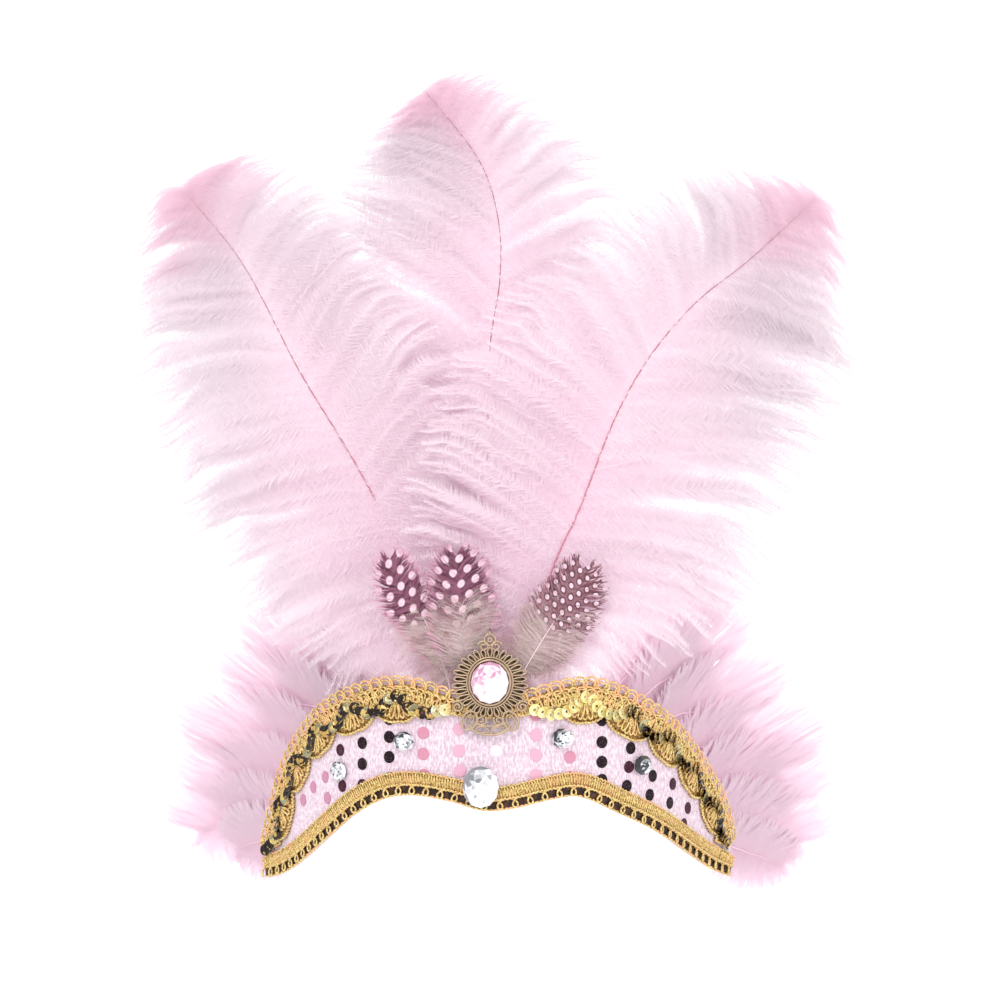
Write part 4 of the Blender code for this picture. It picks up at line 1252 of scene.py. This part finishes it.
# %% One barb
# A barb is drawn one unit long and stretched later, so half a barbule's root is a share of
# it. The usual barb's length, in metres, keeps the barbules' slant true after the stretch.
BARBULE_HALF, MEAN_BARB = 0.0034, 0.075
def barb(
    name, seed, side, fluff, threads, width, bow, hook=0.0, puff=0.16, stray=0.25, segments=10, taper=0.75
):
    """A barb one unit long along X. side is 1 or -1 and says which way it bows."""
    chance = np.random.default_rng(seed)
    wave = chance.uniform(0, 6.28)

    def centre(x):
        y = side * (bow * x**2 + hook * ease((x - 0.72) / 0.28) ** 2)
        y = y + 0.0010 * np.sin(x * 7 + wave) * x
        return y, 0.0012 * np.sin(x * 5 + 2 * wave) * x

    x = np.linspace(0, 1, segments + 1)
    y, z = centre(x)
    half = 0.5 * width * (1 - taper * x) * np.sqrt(1 - 0.96 * x**6)
    spine = np.concatenate([np.column_stack([x, y - half, z]), np.column_stack([x, y + half, z])])
    faces = [(k, k + 1, segments + 2 + k, segments + 1 + k) for k in range(segments)]
    points, carried = [spine], [np.concatenate([x, x])]
    if threads:
        root = np.linspace(0.0, 0.995, threads) + chance.uniform(-0.4, 0.4, threads) / threads
        root = np.clip(root, 0.0, 0.995)
        for hand in (1, -1):
            length = fluff * (0.55 + 0.45 * np.sin(math.pi * root**0.8))
            length *= 1 - 0.55 * ease((root - 0.78) / 0.22)
            length *= chance.uniform(1 - stray, 1 + 0.3 * stray, threads)
            y, z = centre(root)
            lean = chance.uniform(0.5, 0.95, threads)
            tip_x = root + length * np.sin(lean) / MEAN_BARB
            tip_y = y + hand * length * np.cos(lean)
            tip_z = z + chance.normal(0, puff, threads) * length
            first = sum(len(some) for some in points)
            roots = [np.column_stack([root + edge, y, z]) for edge in (-BARBULE_HALF, BARBULE_HALF)]
            trio = np.stack([*roots, np.column_stack([tip_x, tip_y, tip_z])], axis=1)
            points.append(trio.reshape(-1, 3))
            carried.append(np.stack([root, root, np.minimum(1.0, root + 0.02)], axis=1).ravel())
            order = (0, 1, 2) if hand == 1 else (1, 0, 2)
            faces.extend(tuple(first + 3 * k + i for i in order) for k in range(threads))
    return mesh_of(name, np.concatenate(points), faces, along=np.concatenate(carried))


# %% Sets of barbs
def barb_pair(name, kinds, **sizes):
    """Two collections of barbs that differ a little, for the two sides of a shaft."""
    pair = []
    for side, hand in ((1, "left"), (-1, "right")):
        group = bpy.data.collections.new(f"{name}_{hand}")
        for k in range(kinds):
            label = f"{name}_{hand}_{k}"
            mesh = barb(label, 100 * kinds + 7 * k + side, side, **sizes)
            group.objects.link(bpy.data.objects.new(label, mesh))
        pair.append(group)
    return pair


# %% The tree for barbs on a shaft
vane = Grower(
    "barbs_on_a_shaft",
    {
        "Barbs": "Collection", "Kinds": "Int", "Count": "Int", "Side": "Float",
        "Spread": "Float", "Ragged": "Float", "Loft": "Float", "Flutter": "Float",
        "Seed": "Int", "Finish": "Material",
    },
)
growth = vane.node("GeometryNodeInputTangent")
hand = vane.sideways(growth)
seed, loft = vane.given("Seed"), vane.given("Loft")
lean_here = vane.carried("lean") + vane.random(-1.0, 1.0, seed) * vane.given("Spread")
aim = hand * (vane.given("Side") * lean_here.cosine()) + growth * lean_here.sine()
short = 1.0 - vane.random(0.0, 1.0, seed + 11.0) ** 2.0 * vane.given("Ragged")
toned = vane.node(
    "GeometryNodeStoreNamedAttribute", {"data_type": "FLOAT", "domain": "POINT"},
    {
        "Geometry": vane.path("COUNT", vane.given("Count")), "Name": "tone",
        "Value": vane.random(0.0, 1.0, seed + 23.0),
    },
)
layered = vane.moved(toned, vane.vector(Z=vane.random(-0.2, 0.2, seed + 31.0) * loft))
some_barb = vane.node(
    "GeometryNodeCollectionInfo", {},
    {"Collection": vane.given("Barbs"), "Separate Children": True, "Reset Children": True},
)
set_barbs = vane.planted(
    layered, some_barb, Pick_Instance=True,
    Instance_Index=vane.random(0, vane.given("Kinds") - 1.0, seed + 5.0, "INT"),
    Rotation=vane.vector(Z=vane.heading(aim)),
    Scale=vane.vector(X=vane.carried("reach") * short, Y=1.0, Z=1.0),
)
real_barbs = vane.node("GeometryNodeRealizeInstances", {}, {"Geometry": set_barbs})
breeze = vane.node(
    "ShaderNodeTexNoise", {},
    {"Vector": vane.node("GeometryNodeInputPosition"), "Scale": 38.0, "Detail": 1.0},
).out("Color") - (0.5, 0.5, 0.5)
lofted = vane.vector(Z=(vane.carried("tone") * 2.0 - 1.0) * loft * vane.carried("along"))
flutter = breeze * (vane.given("Flutter") * vane.carried("along"))
growing = vane.end(vane.moved(real_barbs, flutter + lofted))


# %% Shafts and vanes
SHAFT_STEPS, QUILL_SIDES = 81, 6


def rounded(points, pieces=12):
    """A smooth curve through flat points."""
    points = np.asarray(points, float)
    last = len(points) - 1
    path = []
    for k in range(last):
        before, start, end, after = (points[min(last, max(0, i))] for i in (k - 1, k, k + 1, k + 2))
        for t in np.arange(pieces) / pieces:
            bend = 2 * before - 5 * start + 4 * end - after
            snap = 3 * start - before - 3 * end + after
            path.append(0.5 * (2 * start + (end - before) * t + bend * t * t + snap * t**3))
    path.append(points[last])
    return np.array(path)


def behind_curve(along):
    """How far back the brow's curve lies, this far along from its middle."""
    return BROW_RADIUS - np.sqrt(np.maximum(0.0, BROW_RADIUS**2 - along**2))


def even(rows):
    """The rows of a vane whose two sides are alike."""
    return [(at, reach, reach, lean, lean) for at, reach, lean in rows]


def sized(rows, size):
    """A vane's rows, with their reaches made this many times as long."""
    return [(at, left * size, right * size, *leans) for at, left, right, *leans in rows]


# %% One feather
def feather_meshes(
    shaft, rows, sets, finishes, counts, place, quill, options, quill_reach=1.0, sunk=0.0
):
    """The barbs of both sides and the quill of one feather, in their real places."""
    places, travel, length = walk(rounded(shaft), SHAFT_STEPS)
    share = np.linspace(0, 1, SHAFT_STEPS)
    kept = share >= rows[0][0] - 0.001
    upright = places[-1] - places[SHAFT_STEPS // 2]
    upright /= np.linalg.norm(upright)
    sideways = np.array([upright[1], -upright[0]])
    meshes = []
    for side, column in ((1, 1), (-1, 2)):
        reach = np.maximum(0.001, smooth(rows, column, share[kept]))
        lean = np.radians(smooth(rows, column + 2, share[kept]))
        line = line_of("shaft", places[kept], reach=reach, lean=lean, share=share[kept])
        picked = sets[0 if side == 1 else 1]
        mesh = grown(
            line, growing, Barbs=picked, Kinds=len(picked.objects), Count=counts, Side=float(side),
            Finish=finishes[0].material, **{**options, "Seed": options["Seed"] + 50 * side},
        )
        flat = read(mesh)
        fold = side * read(mesh, "along") * read(mesh, "reach")
        own = flat[:, :2] - places[0]
        own = np.column_stack([own @ sideways, own @ upright, flat[:, 2]])
        store(mesh, "flat", own)
        place_all(mesh, place(flat[:, :2], fold, read(mesh, "share"), flat[:, 2]))
        meshes.append(mesh)
    stop = int((SHAFT_STEPS - 1) * quill_reach) + 1
    share = share[:stop]
    out = 0.25 * quill - sunk * (1 - ease((share - 0.36) / 0.1))
    centre = place(places[:stop], np.zeros(stop), share, out)
    radius = 0.5 * quill * (1 - 0.86 * share**0.8)
    # the quill's tube is turned so that its flat way faces the front
    turned = np.column_stack([centre[:, 0], centre[:, 2], -centre[:, 1]])
    points, faces = tube(turned, radius, QUILL_SIDES)
    points = np.column_stack([points[:, 0], -points[:, 2], points[:, 1]])
    share = np.repeat(share, QUILL_SIDES)
    meshes.append(mesh_of("quill", points, faces, finish=finishes[1], share=share))
    return meshes


# %% [markdown]
# ## The plumes
# The plumes are dyed pink, strongest near the quill and fading to a greyish white at the
# tips, with fine pale streaks along the barbs. Light shines through them, so part of each
# barb's colour comes from behind.

# %% Plume finishes


def feather_finish(name, deep, middle, pale, streak, glow, through=0.35, dusky=None, heart=None):
    """Deep near the shaft, pale at the tips, with a tone for each barb.

    The dye can also be strongest at a heart, given as its height and its two half sizes."""
    plume = Finish(name)
    along = plume.attribute("along")
    tone = plume.attribute("tone")
    cloud = plume.noise(22.0, 2.0)
    if heart:
        height, half_width, half_height = heart
        spot = plume.node("ShaderNodeTexCoord").out("Object")
        x, z = plume.part(spot, "X") / half_width, (plume.part(spot, "Z") - height) / half_height
        away = (x * x + z * z) ** 0.5
        along = along * 0.36 + away * 0.66 - 0.12
    shade = plume.mix((along + (cloud - 0.5) * 0.5).above(0.30, 0.30), deep, middle)
    shade = plume.mix((along + (cloud - 0.5) * 0.4).above(0.80, 0.28), shade, pale)
    shade = plume.mix(tone.above(0.80, 0.12) * 0.6, shade, streak)
    if dusky:
        share = plume.attribute("share")
        shade = plume.mix((share + (cloud - 0.5) * 0.2).above(0.90, 0.08) * 0.75, shade, dusky)
    plume.wear(Base_Color=shade, Roughness=0.85, Specular_IOR_Level=0.2)
    return plume.let_light_through(glow, through)


plume_pink = feather_finish(
    "plume_pink", tint(255, 234, 245), tint(249, 237, 243), tint(232, 228, 230), tint(253, 247, 250),
    tint(252, 241, 247), 0.54, tint(240, 200, 216), (0.105, 0.092, 0.150),
)
quill_rose = Finish("quill_rose")
quill_share = quill_rose.attribute("share")
quill_rose.wear(
    Base_Color=quill_rose.mix(
        quill_share.above(0.5, 0.4),
        quill_rose.mix(quill_rose.noise(90.0), tint(206, 132, 152), tint(222, 156, 172)),
        tint(176, 104, 122),
    ),
    Roughness=0.6, Specular_IOR_Level=0.2,
)

# %% The three plumes
REACH = 0.28
FULLNESS, DROOP, CURL, CLEARANCE = 0.008, 0.004, 0.016, 0.0015
LEFT_SHAFT = [(0.0, 0.0), (-0.004, 0.086), (-0.059, 0.199), (-0.180, 0.424), (-0.271, 0.575),
              (-0.354, 0.734), (-0.438, 0.840)]
MIDDLE_SHAFT = [(0.0, 0.0), (0.0, 0.090), (-0.004, 0.320), (-0.002, 0.593), (0.014, 0.714),
                (0.012, 0.806), (-0.018, 0.897), (-0.097, 0.996)]
RIGHT_SHAFT = [(0.0, 0.0), (0.010, 0.093), (0.073, 0.274), (0.114, 0.364), (0.167, 0.500),
               (0.220, 0.594), (0.290, 0.676), (0.368, 0.738), (0.464, 0.826)]
LEFT_VANE = [(0.12, 0.02, 0.02, 8, 8), (0.22, 0.21, 0.17, 20, 20), (0.35, 0.26, 0.21, 24, 26),
             (0.50, 0.275, 0.22, 27, 32), (0.67, 0.24, 0.215, 33, 38), (0.86, 0.155, 0.155, 46, 38),
             (0.95, 0.085, 0.11, 66, 44), (1.00, 0.035, 0.04, 82, 60)]
MIDDLE_VANE = [(0.12, 0.02, 0.02, 8, 8), (0.20, 0.17, 0.17, 15, 15), (0.31, 0.27, 0.24, 20, 20),
               (0.44, 0.31, 0.25, 26, 26), (0.575, 0.315, 0.225, 34, 33), (0.69, 0.285, 0.205, 40, 36),
               (0.78, 0.235, 0.19, 50, 38), (0.88, 0.145, 0.12, 66, 42), (0.95, 0.07, 0.07, 78, 52),
               (1.00, 0.025, 0.03, 84, 66)]
RIGHT_VANE = [(0.12, 0.02, 0.02, 8, 8), (0.19, 0.15, 0.17, 15, 15), (0.29, 0.24, 0.28, 20, 20),
              (0.39, 0.265, 0.305, 23, 23), (0.54, 0.255, 0.31, 29, 29), (0.65, 0.20, 0.295, 38, 36),
              (0.77, 0.185, 0.235, 44, 44), (0.88, 0.115, 0.135, 50, 52), (0.95, 0.06, 0.07, 58, 64),
              (1.00, 0.025, 0.03, 68, 78)]
PLUMES = [
    ("plume_right", 1, RIGHT_SHAFT, RIGHT_VANE, 0),
    ("plume_left", -1, LEFT_SHAFT, LEFT_VANE, 1),
    ("plume_middle", 0, MIDDLE_SHAFT, MIDDLE_VANE, 2),
]
# %% Growing the plumes
plume_sets = barb_pair(
    "plume_barb", 8, fluff=0.0068, threads=176, width=0.00040, bow=0.013, hook=0.004, puff=0.30
)
wisp_sets = barb_pair("wisp", 5, fluff=0.0014, threads=44, width=0.00045, bow=0.018, hook=0.009)
foot = 0.45 * RISE
seat = GAP + 0.8 * 0.5 * QUILL_WIDTH
layer_step = FULLNESS + DROOP + CLEARANCE
plume_finishes = (plume_pink, quill_rose)
PLUME_BARBS, WISPS, PLUME_QUILL = 196, 60, 0.6 * QUILL_WIDTH

for number, (name, quill_number, shaft, rows, layer) in enumerate(PLUMES):
    depth = 0.55 * layer_step + layer * layer_step

    def place(flat, fold, share, out, depth=depth):
        along, up = flat[:, 0], flat[:, 1]
        lean_back = seat + depth * ease((up - foot) / (1.6 * RISE))
        droop = DROOP * np.minimum(1.1, np.abs(fold) / (0.3 * REACH)) ** 2
        curl = CURL * ease((share - 0.72) / 0.28)
        near_band = 1.0 - ease((up - foot) / RISE)
        y = lean_back + near_band * behind_curve(along) + droop - curl - out
        return np.column_stack([along, y, up])

    base_point = np.array([BROOCH[0] + quill_number * QUILL_SPACING, foot])
    path = base_point + np.array(shaft) * REACH
    tip = 0.35 if name == "plume_middle" else 0.9
    last_row = (rows[-1][0], rows[-1][1] * tip, rows[-1][2] * tip, *rows[-1][3:])
    rows = [(0.085, 0.06, 0.06, -12, -12), (0.14, 0.13, 0.12, 2, 2), *rows[1:-1], last_row]
    meshes = feather_meshes(
        path, sized(rows, REACH), plume_sets, plume_finishes, PLUME_BARBS, place, PLUME_QUILL,
        dict(Spread=0.13, Ragged=0.22, Loft=0.0030, Flutter=0.013, Seed=11 + number),
        sunk=0.0 if name == "plume_right" else 0.003,
    )
    wisps = feather_meshes(
        path, sized(rows, 1.08 * REACH), wisp_sets, plume_finishes, WISPS, place, PLUME_QUILL,
        dict(Spread=0.30, Ragged=0.35, Loft=0.0040, Flutter=0.030, Seed=111 + number),
    )[:2]
    settle(together(name + "_barbs", meshes + wisps, False), name, name)

# %% [markdown]
# ## The spotted feathers
# Guinea fowl feathers, dyed plum: round pale spots in staggered rows on a dark ground, and
# below them a loose grey-brown down. The spots follow the barbs, so they are drawn in the
# feather's own flat place, which is across and along the shaft, and not in the room's.

# %% Spotted finish


def spotted_finish(name, pitch, dot, rim, dark, light, fade):
    spots = Finish(name)
    flat = spots.places("flat")
    across, up = spots.part(flat, "X"), spots.part(flat, "Y")
    slanted = up - spots.node("ShaderNodeMath", {"operation": "ABSOLUTE"}, {0: across}) * 0.30
    row = slanted / (pitch * 0.86)
    odd = (row * 0.5).fraction().above(0.5, 0.001)
    u = (across / pitch + odd * 0.5).fraction() - 0.5
    v = (row.fraction() - 0.5) * 0.86
    wobble = (spots.noise(420.0, 1.0) - 0.5) * 0.10
    radius = (u * u + v * v) ** 0.5 + wobble
    spot = 1.0 - radius.above(dot, 0.05)
    ground = spots.mix(spots.attribute("tone"), dark, light)
    if rim:
        ground = spots.mix(radius.above(dot + 0.12, 0.07), tint(74, 36, 46), ground)
    shade = spots.mix(spot, ground, tint(252, 218, 232))
    share = spots.attribute("share") + (spots.noise(160.0, 2.0) - 0.5) * 0.14
    downy = spots.mix(spots.attribute("tone"), tint(170, 146, 142), tint(206, 182, 182))
    shade = spots.mix(share.above(0.60, 0.06), downy, shade)
    edge = (spots.attribute("along") + (spots.noise(300.0, 1.0) - 0.5) * 0.3).above(fade, 0.20)
    shade = spots.mix(edge * 0.8, shade, tint(236, 178, 204))
    spots.wear(Base_Color=shade, Roughness=0.75)
    return spots.let_light_through(light, 0.15)


large_spots = spotted_finish(
    "large_spots", 0.0062, 0.26, False, tint(88, 40, 60), tint(150, 92, 116), 0.80
)
small_spots = spotted_finish(
    "small_spots", 0.0043, 0.23, True, tint(116, 68, 82), tint(172, 124, 134), 1.05
)
down_grey = Finish("grey_down")
patch = down_grey.noise(120.0, 2.0)
down_shade = down_grey.mix(patch.above(0.44, 0.08), tint(214, 202, 188), tint(232, 206, 210))
down_shade = down_grey.mix(patch.above(0.58, 0.08), down_shade, tint(186, 140, 150))
down_shade = down_grey.mix(down_grey.attribute("tone") * 0.5, down_shade, tint(240, 222, 224))
down_grey.wear(Base_Color=down_shade, Roughness=0.85, Specular_IOR_Level=0.2)
down_grey.let_light_through(tint(226, 208, 204), 0.4)
quill_ivory = mottled("quill_ivory", 200.0, tint(240, 206, 214), tint(255, 240, 240), Roughness=0.4)

# %% The three spotted feathers
# Each has its place among the quills, its shaft, width and layer, how far its quill shows
# through the barbs, and its finish.
SPOTTED_REACH, SPOTTED_HALF, VANE_WALL = 0.073, 0.0135, 0.0009
SHAFT_FOOT = [(0.0, 0.0), (0.0, 0.20)]
SPOTTED = [
    (-3, [(-0.13, 0.55), (-0.27, 0.73), (-0.33, 0.90)], 0.92, 0, 0.62, large_spots),
    (-2, [(0.0, 0.52), (-0.01, 0.74), (-0.03, 0.91)], 1.15, 1, 0.35, large_spots),
    (2, [(0.18, 0.52), (0.30, 0.68), (0.36, 0.84)], 1.08, 1, 0.66, small_spots),
]
SPOTTED_VANE = even([
    (0.26, 0.08, 10), (0.40, 0.80, 18), (0.55, 1.0, 24), (0.72, 1.0, 30), (0.86, 0.92, 42),
    (0.95, 0.72, 58), (1.00, 0.50, 72),
])
DOWN_VANE = even([(0.3, 0.4, 5), (0.5, 1.3, 12), (0.8, 1.35, 18), (1.0, 1.1, 26)])
FLAT_BARBS, DOWN_BARBS = 135, 64
flat_sets = barb_pair("flat_barb", 4, fluff=0.0010, threads=16, width=0.0013, bow=0.0010, segments=8)
down_sets = barb_pair("down", 5, fluff=0.0034, threads=36, width=0.0003, bow=0.003, segments=8)
# %% Growing the spotted feathers
spotted_foot = 0.7 * RISE
for number, (quill_number, bends, width, steps, quill_reach, finish) in enumerate(SPOTTED):
    name = f"spotted_feather_{number + 1}"

    def place(flat, fold, share, out, steps=steps):
        along, up = flat[:, 0], flat[:, 1]
        clear_of_band = ease((up - RISE) / (0.25 * RISE))
        forward = clear_of_band * (0.0002 + steps * (VANE_WALL + 4 * GAP))
        y = seat + (1.0 - clear_of_band) * behind_curve(along) - forward - out
        return np.column_stack([along, y, up])

    base_point = np.array([BROOCH[0] + quill_number * QUILL_SPACING, spotted_foot])
    path = base_point + np.array(SHAFT_FOOT + bends) * SPOTTED_REACH
    meshes = feather_meshes(
        path, sized(SPOTTED_VANE, 1.16 * width * SPOTTED_HALF), flat_sets, (finish, quill_ivory),
        FLAT_BARBS, place, 0.0008,
        dict(Spread=0.10, Ragged=0.16, Loft=0.0004, Flutter=0.0014, Seed=31 + number),
        quill_reach,
    )
    whole = rounded(path)
    downy = feather_meshes(
        whole[: int(len(whole) * 0.66)], sized(DOWN_VANE, SPOTTED_HALF), down_sets,
        (down_grey, quill_ivory), DOWN_BARBS, place, 0.0010,
        dict(Spread=0.50, Ragged=0.40, Loft=0.0010, Flutter=0.012, Seed=41 + number),
    )[:2]
    settle(together(name + "_barbs", meshes + downy, False), name, name)

# %% [markdown]
# ## The side feathers
# At each end a fan of flat, soft feathers stands out behind the band, each lapping over the
# one above it. They are hackles dyed pink, with ragged tips, so their barbs are ribbons
# with short barbules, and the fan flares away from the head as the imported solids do.

# %% Side feather finish
side_pink = feather_finish(
    "side_pink", tint(254, 234, 243), tint(250, 238, 245), tint(245, 240, 243), tint(252, 246, 249),
    tint(253, 242, 248), 0.68
)

side_shaft = mottled(
    "side_shaft", 90.0, tint(250, 214, 230), tint(240, 200, 218), Roughness=0.6, Specular_IOR_Level=0.2
)

# %% The two fans
SIDE_REACH, SIDE_HALF, SIDE_FLARE, SIDE_TILT = 0.1, 0.023, 0.050, 0.21
RIGHT_SIDE = [
    (0.32, 0.72, 0.57, 0.31, 1.15, 0.08), (0.42, 0.66, 0.57, 0.20, 1.10, 0.07),
    (0.53, 0.54, 0.69, 0.05, 1.05, 0.07), (0.63, 0.38, 0.83, -0.10, 1.0, 0.06),
    (0.73, 0.17, 0.79, -0.15, 0.95, 0.05), (0.80, -0.08, 0.77, -0.20, 0.85, 0.03),
    (0.85, -0.33, 0.66, -0.16, 0.62, 0.02),
]
LEFT_SIDE = [
    (0.32, 0.74, 0.46, 0.26, 1.15, 0.08), (0.42, 0.68, 0.59, 0.18, 1.10, 0.07),
    (0.53, 0.56, 0.64, 0.09, 1.00, 0.07), (0.63, 0.40, 0.78, -0.05, 0.98, 0.06),
    (0.73, 0.18, 0.75, -0.13, 0.92, 0.05), (0.80, -0.08, 0.76, -0.15, 0.82, 0.03),
    (0.85, -0.33, 0.53, -0.08, 0.70, 0.02),
]
SIDE_VANE = even([
    (0.10, 0.06, 10), (0.22, 0.50, 20), (0.38, 0.86, 26), (0.58, 1.0, 30), (0.76, 1.0, 36),
    (0.88, 0.86, 48), (0.96, 0.66, 62), (1.00, 0.50, 74),
])
SIDE_BARBS = 130
side_sets = barb_pair(
    "side_barb", 5, fluff=0.0017, threads=10, width=0.0028, bow=0.0045, segments=8, taper=0.40
)
side_quill = 0.3 * QUILL_WIDTH
side_seat = GAP + 0.8 * side_quill
side_behind = GAP + VANE_WALL + SIDE_TILT * SIDE_HALF


# %% Growing the fans
def side_sheet(along, up):
    """How far out the fan stands."""
    width, height = 1.05 * HALF_LENGTH, 1.81 * RISE
    past = np.hypot(along / width, (up + 0.83 * RISE) / height) - 1.1
    flare = SIDE_FLARE * (np.maximum(0.0, past) / 0.45) ** 2
    return flare * np.minimum(1.0, np.abs(along) / (1.2 * HALF_LENGTH)) ** 2


for side, side_name, table in ((-1, "left", LEFT_SIDE), (1, "right", RIGHT_SIDE)):
    for number, (root_s, root_u, reach_s, reach_u, width, bow) in enumerate(table, 1):

        def place(flat, fold, share, out, side=side):
            settled = ease(share / 0.2)
            sheet = side_sheet(flat[:, 0], flat[:, 1])
            away = sheet - (side_seat + (side_behind - side_seat) * settled)
            tilt = SIDE_TILT * side * fold * settled
            return on_brow(np.column_stack([flat, away + tilt + out]))

        root = np.array([side * root_s * HALF_LENGTH, root_u * RISE])
        reach = np.array([side * reach_s, reach_u]) * SIDE_REACH * 1.04
        bowed = np.array([-side * reach[1], side * reach[0]]) * bow
        path = np.array([root, root + 0.5 * reach + bowed, root + reach])
        name = f"side_feather_{side_name}_{number}"
        meshes = feather_meshes(
            path, sized(SIDE_VANE, 1.22 * width * SIDE_HALF), side_sets, (side_pink, side_shaft),
            SIDE_BARBS, place, 2 * side_quill,
            dict(Spread=0.04, Ragged=0.10, Loft=0.0002, Flutter=0.0022, Seed=61 + 10 * number + side),
            0.9,
        )
        settle(together(name + "_barbs", meshes, False), name, name)
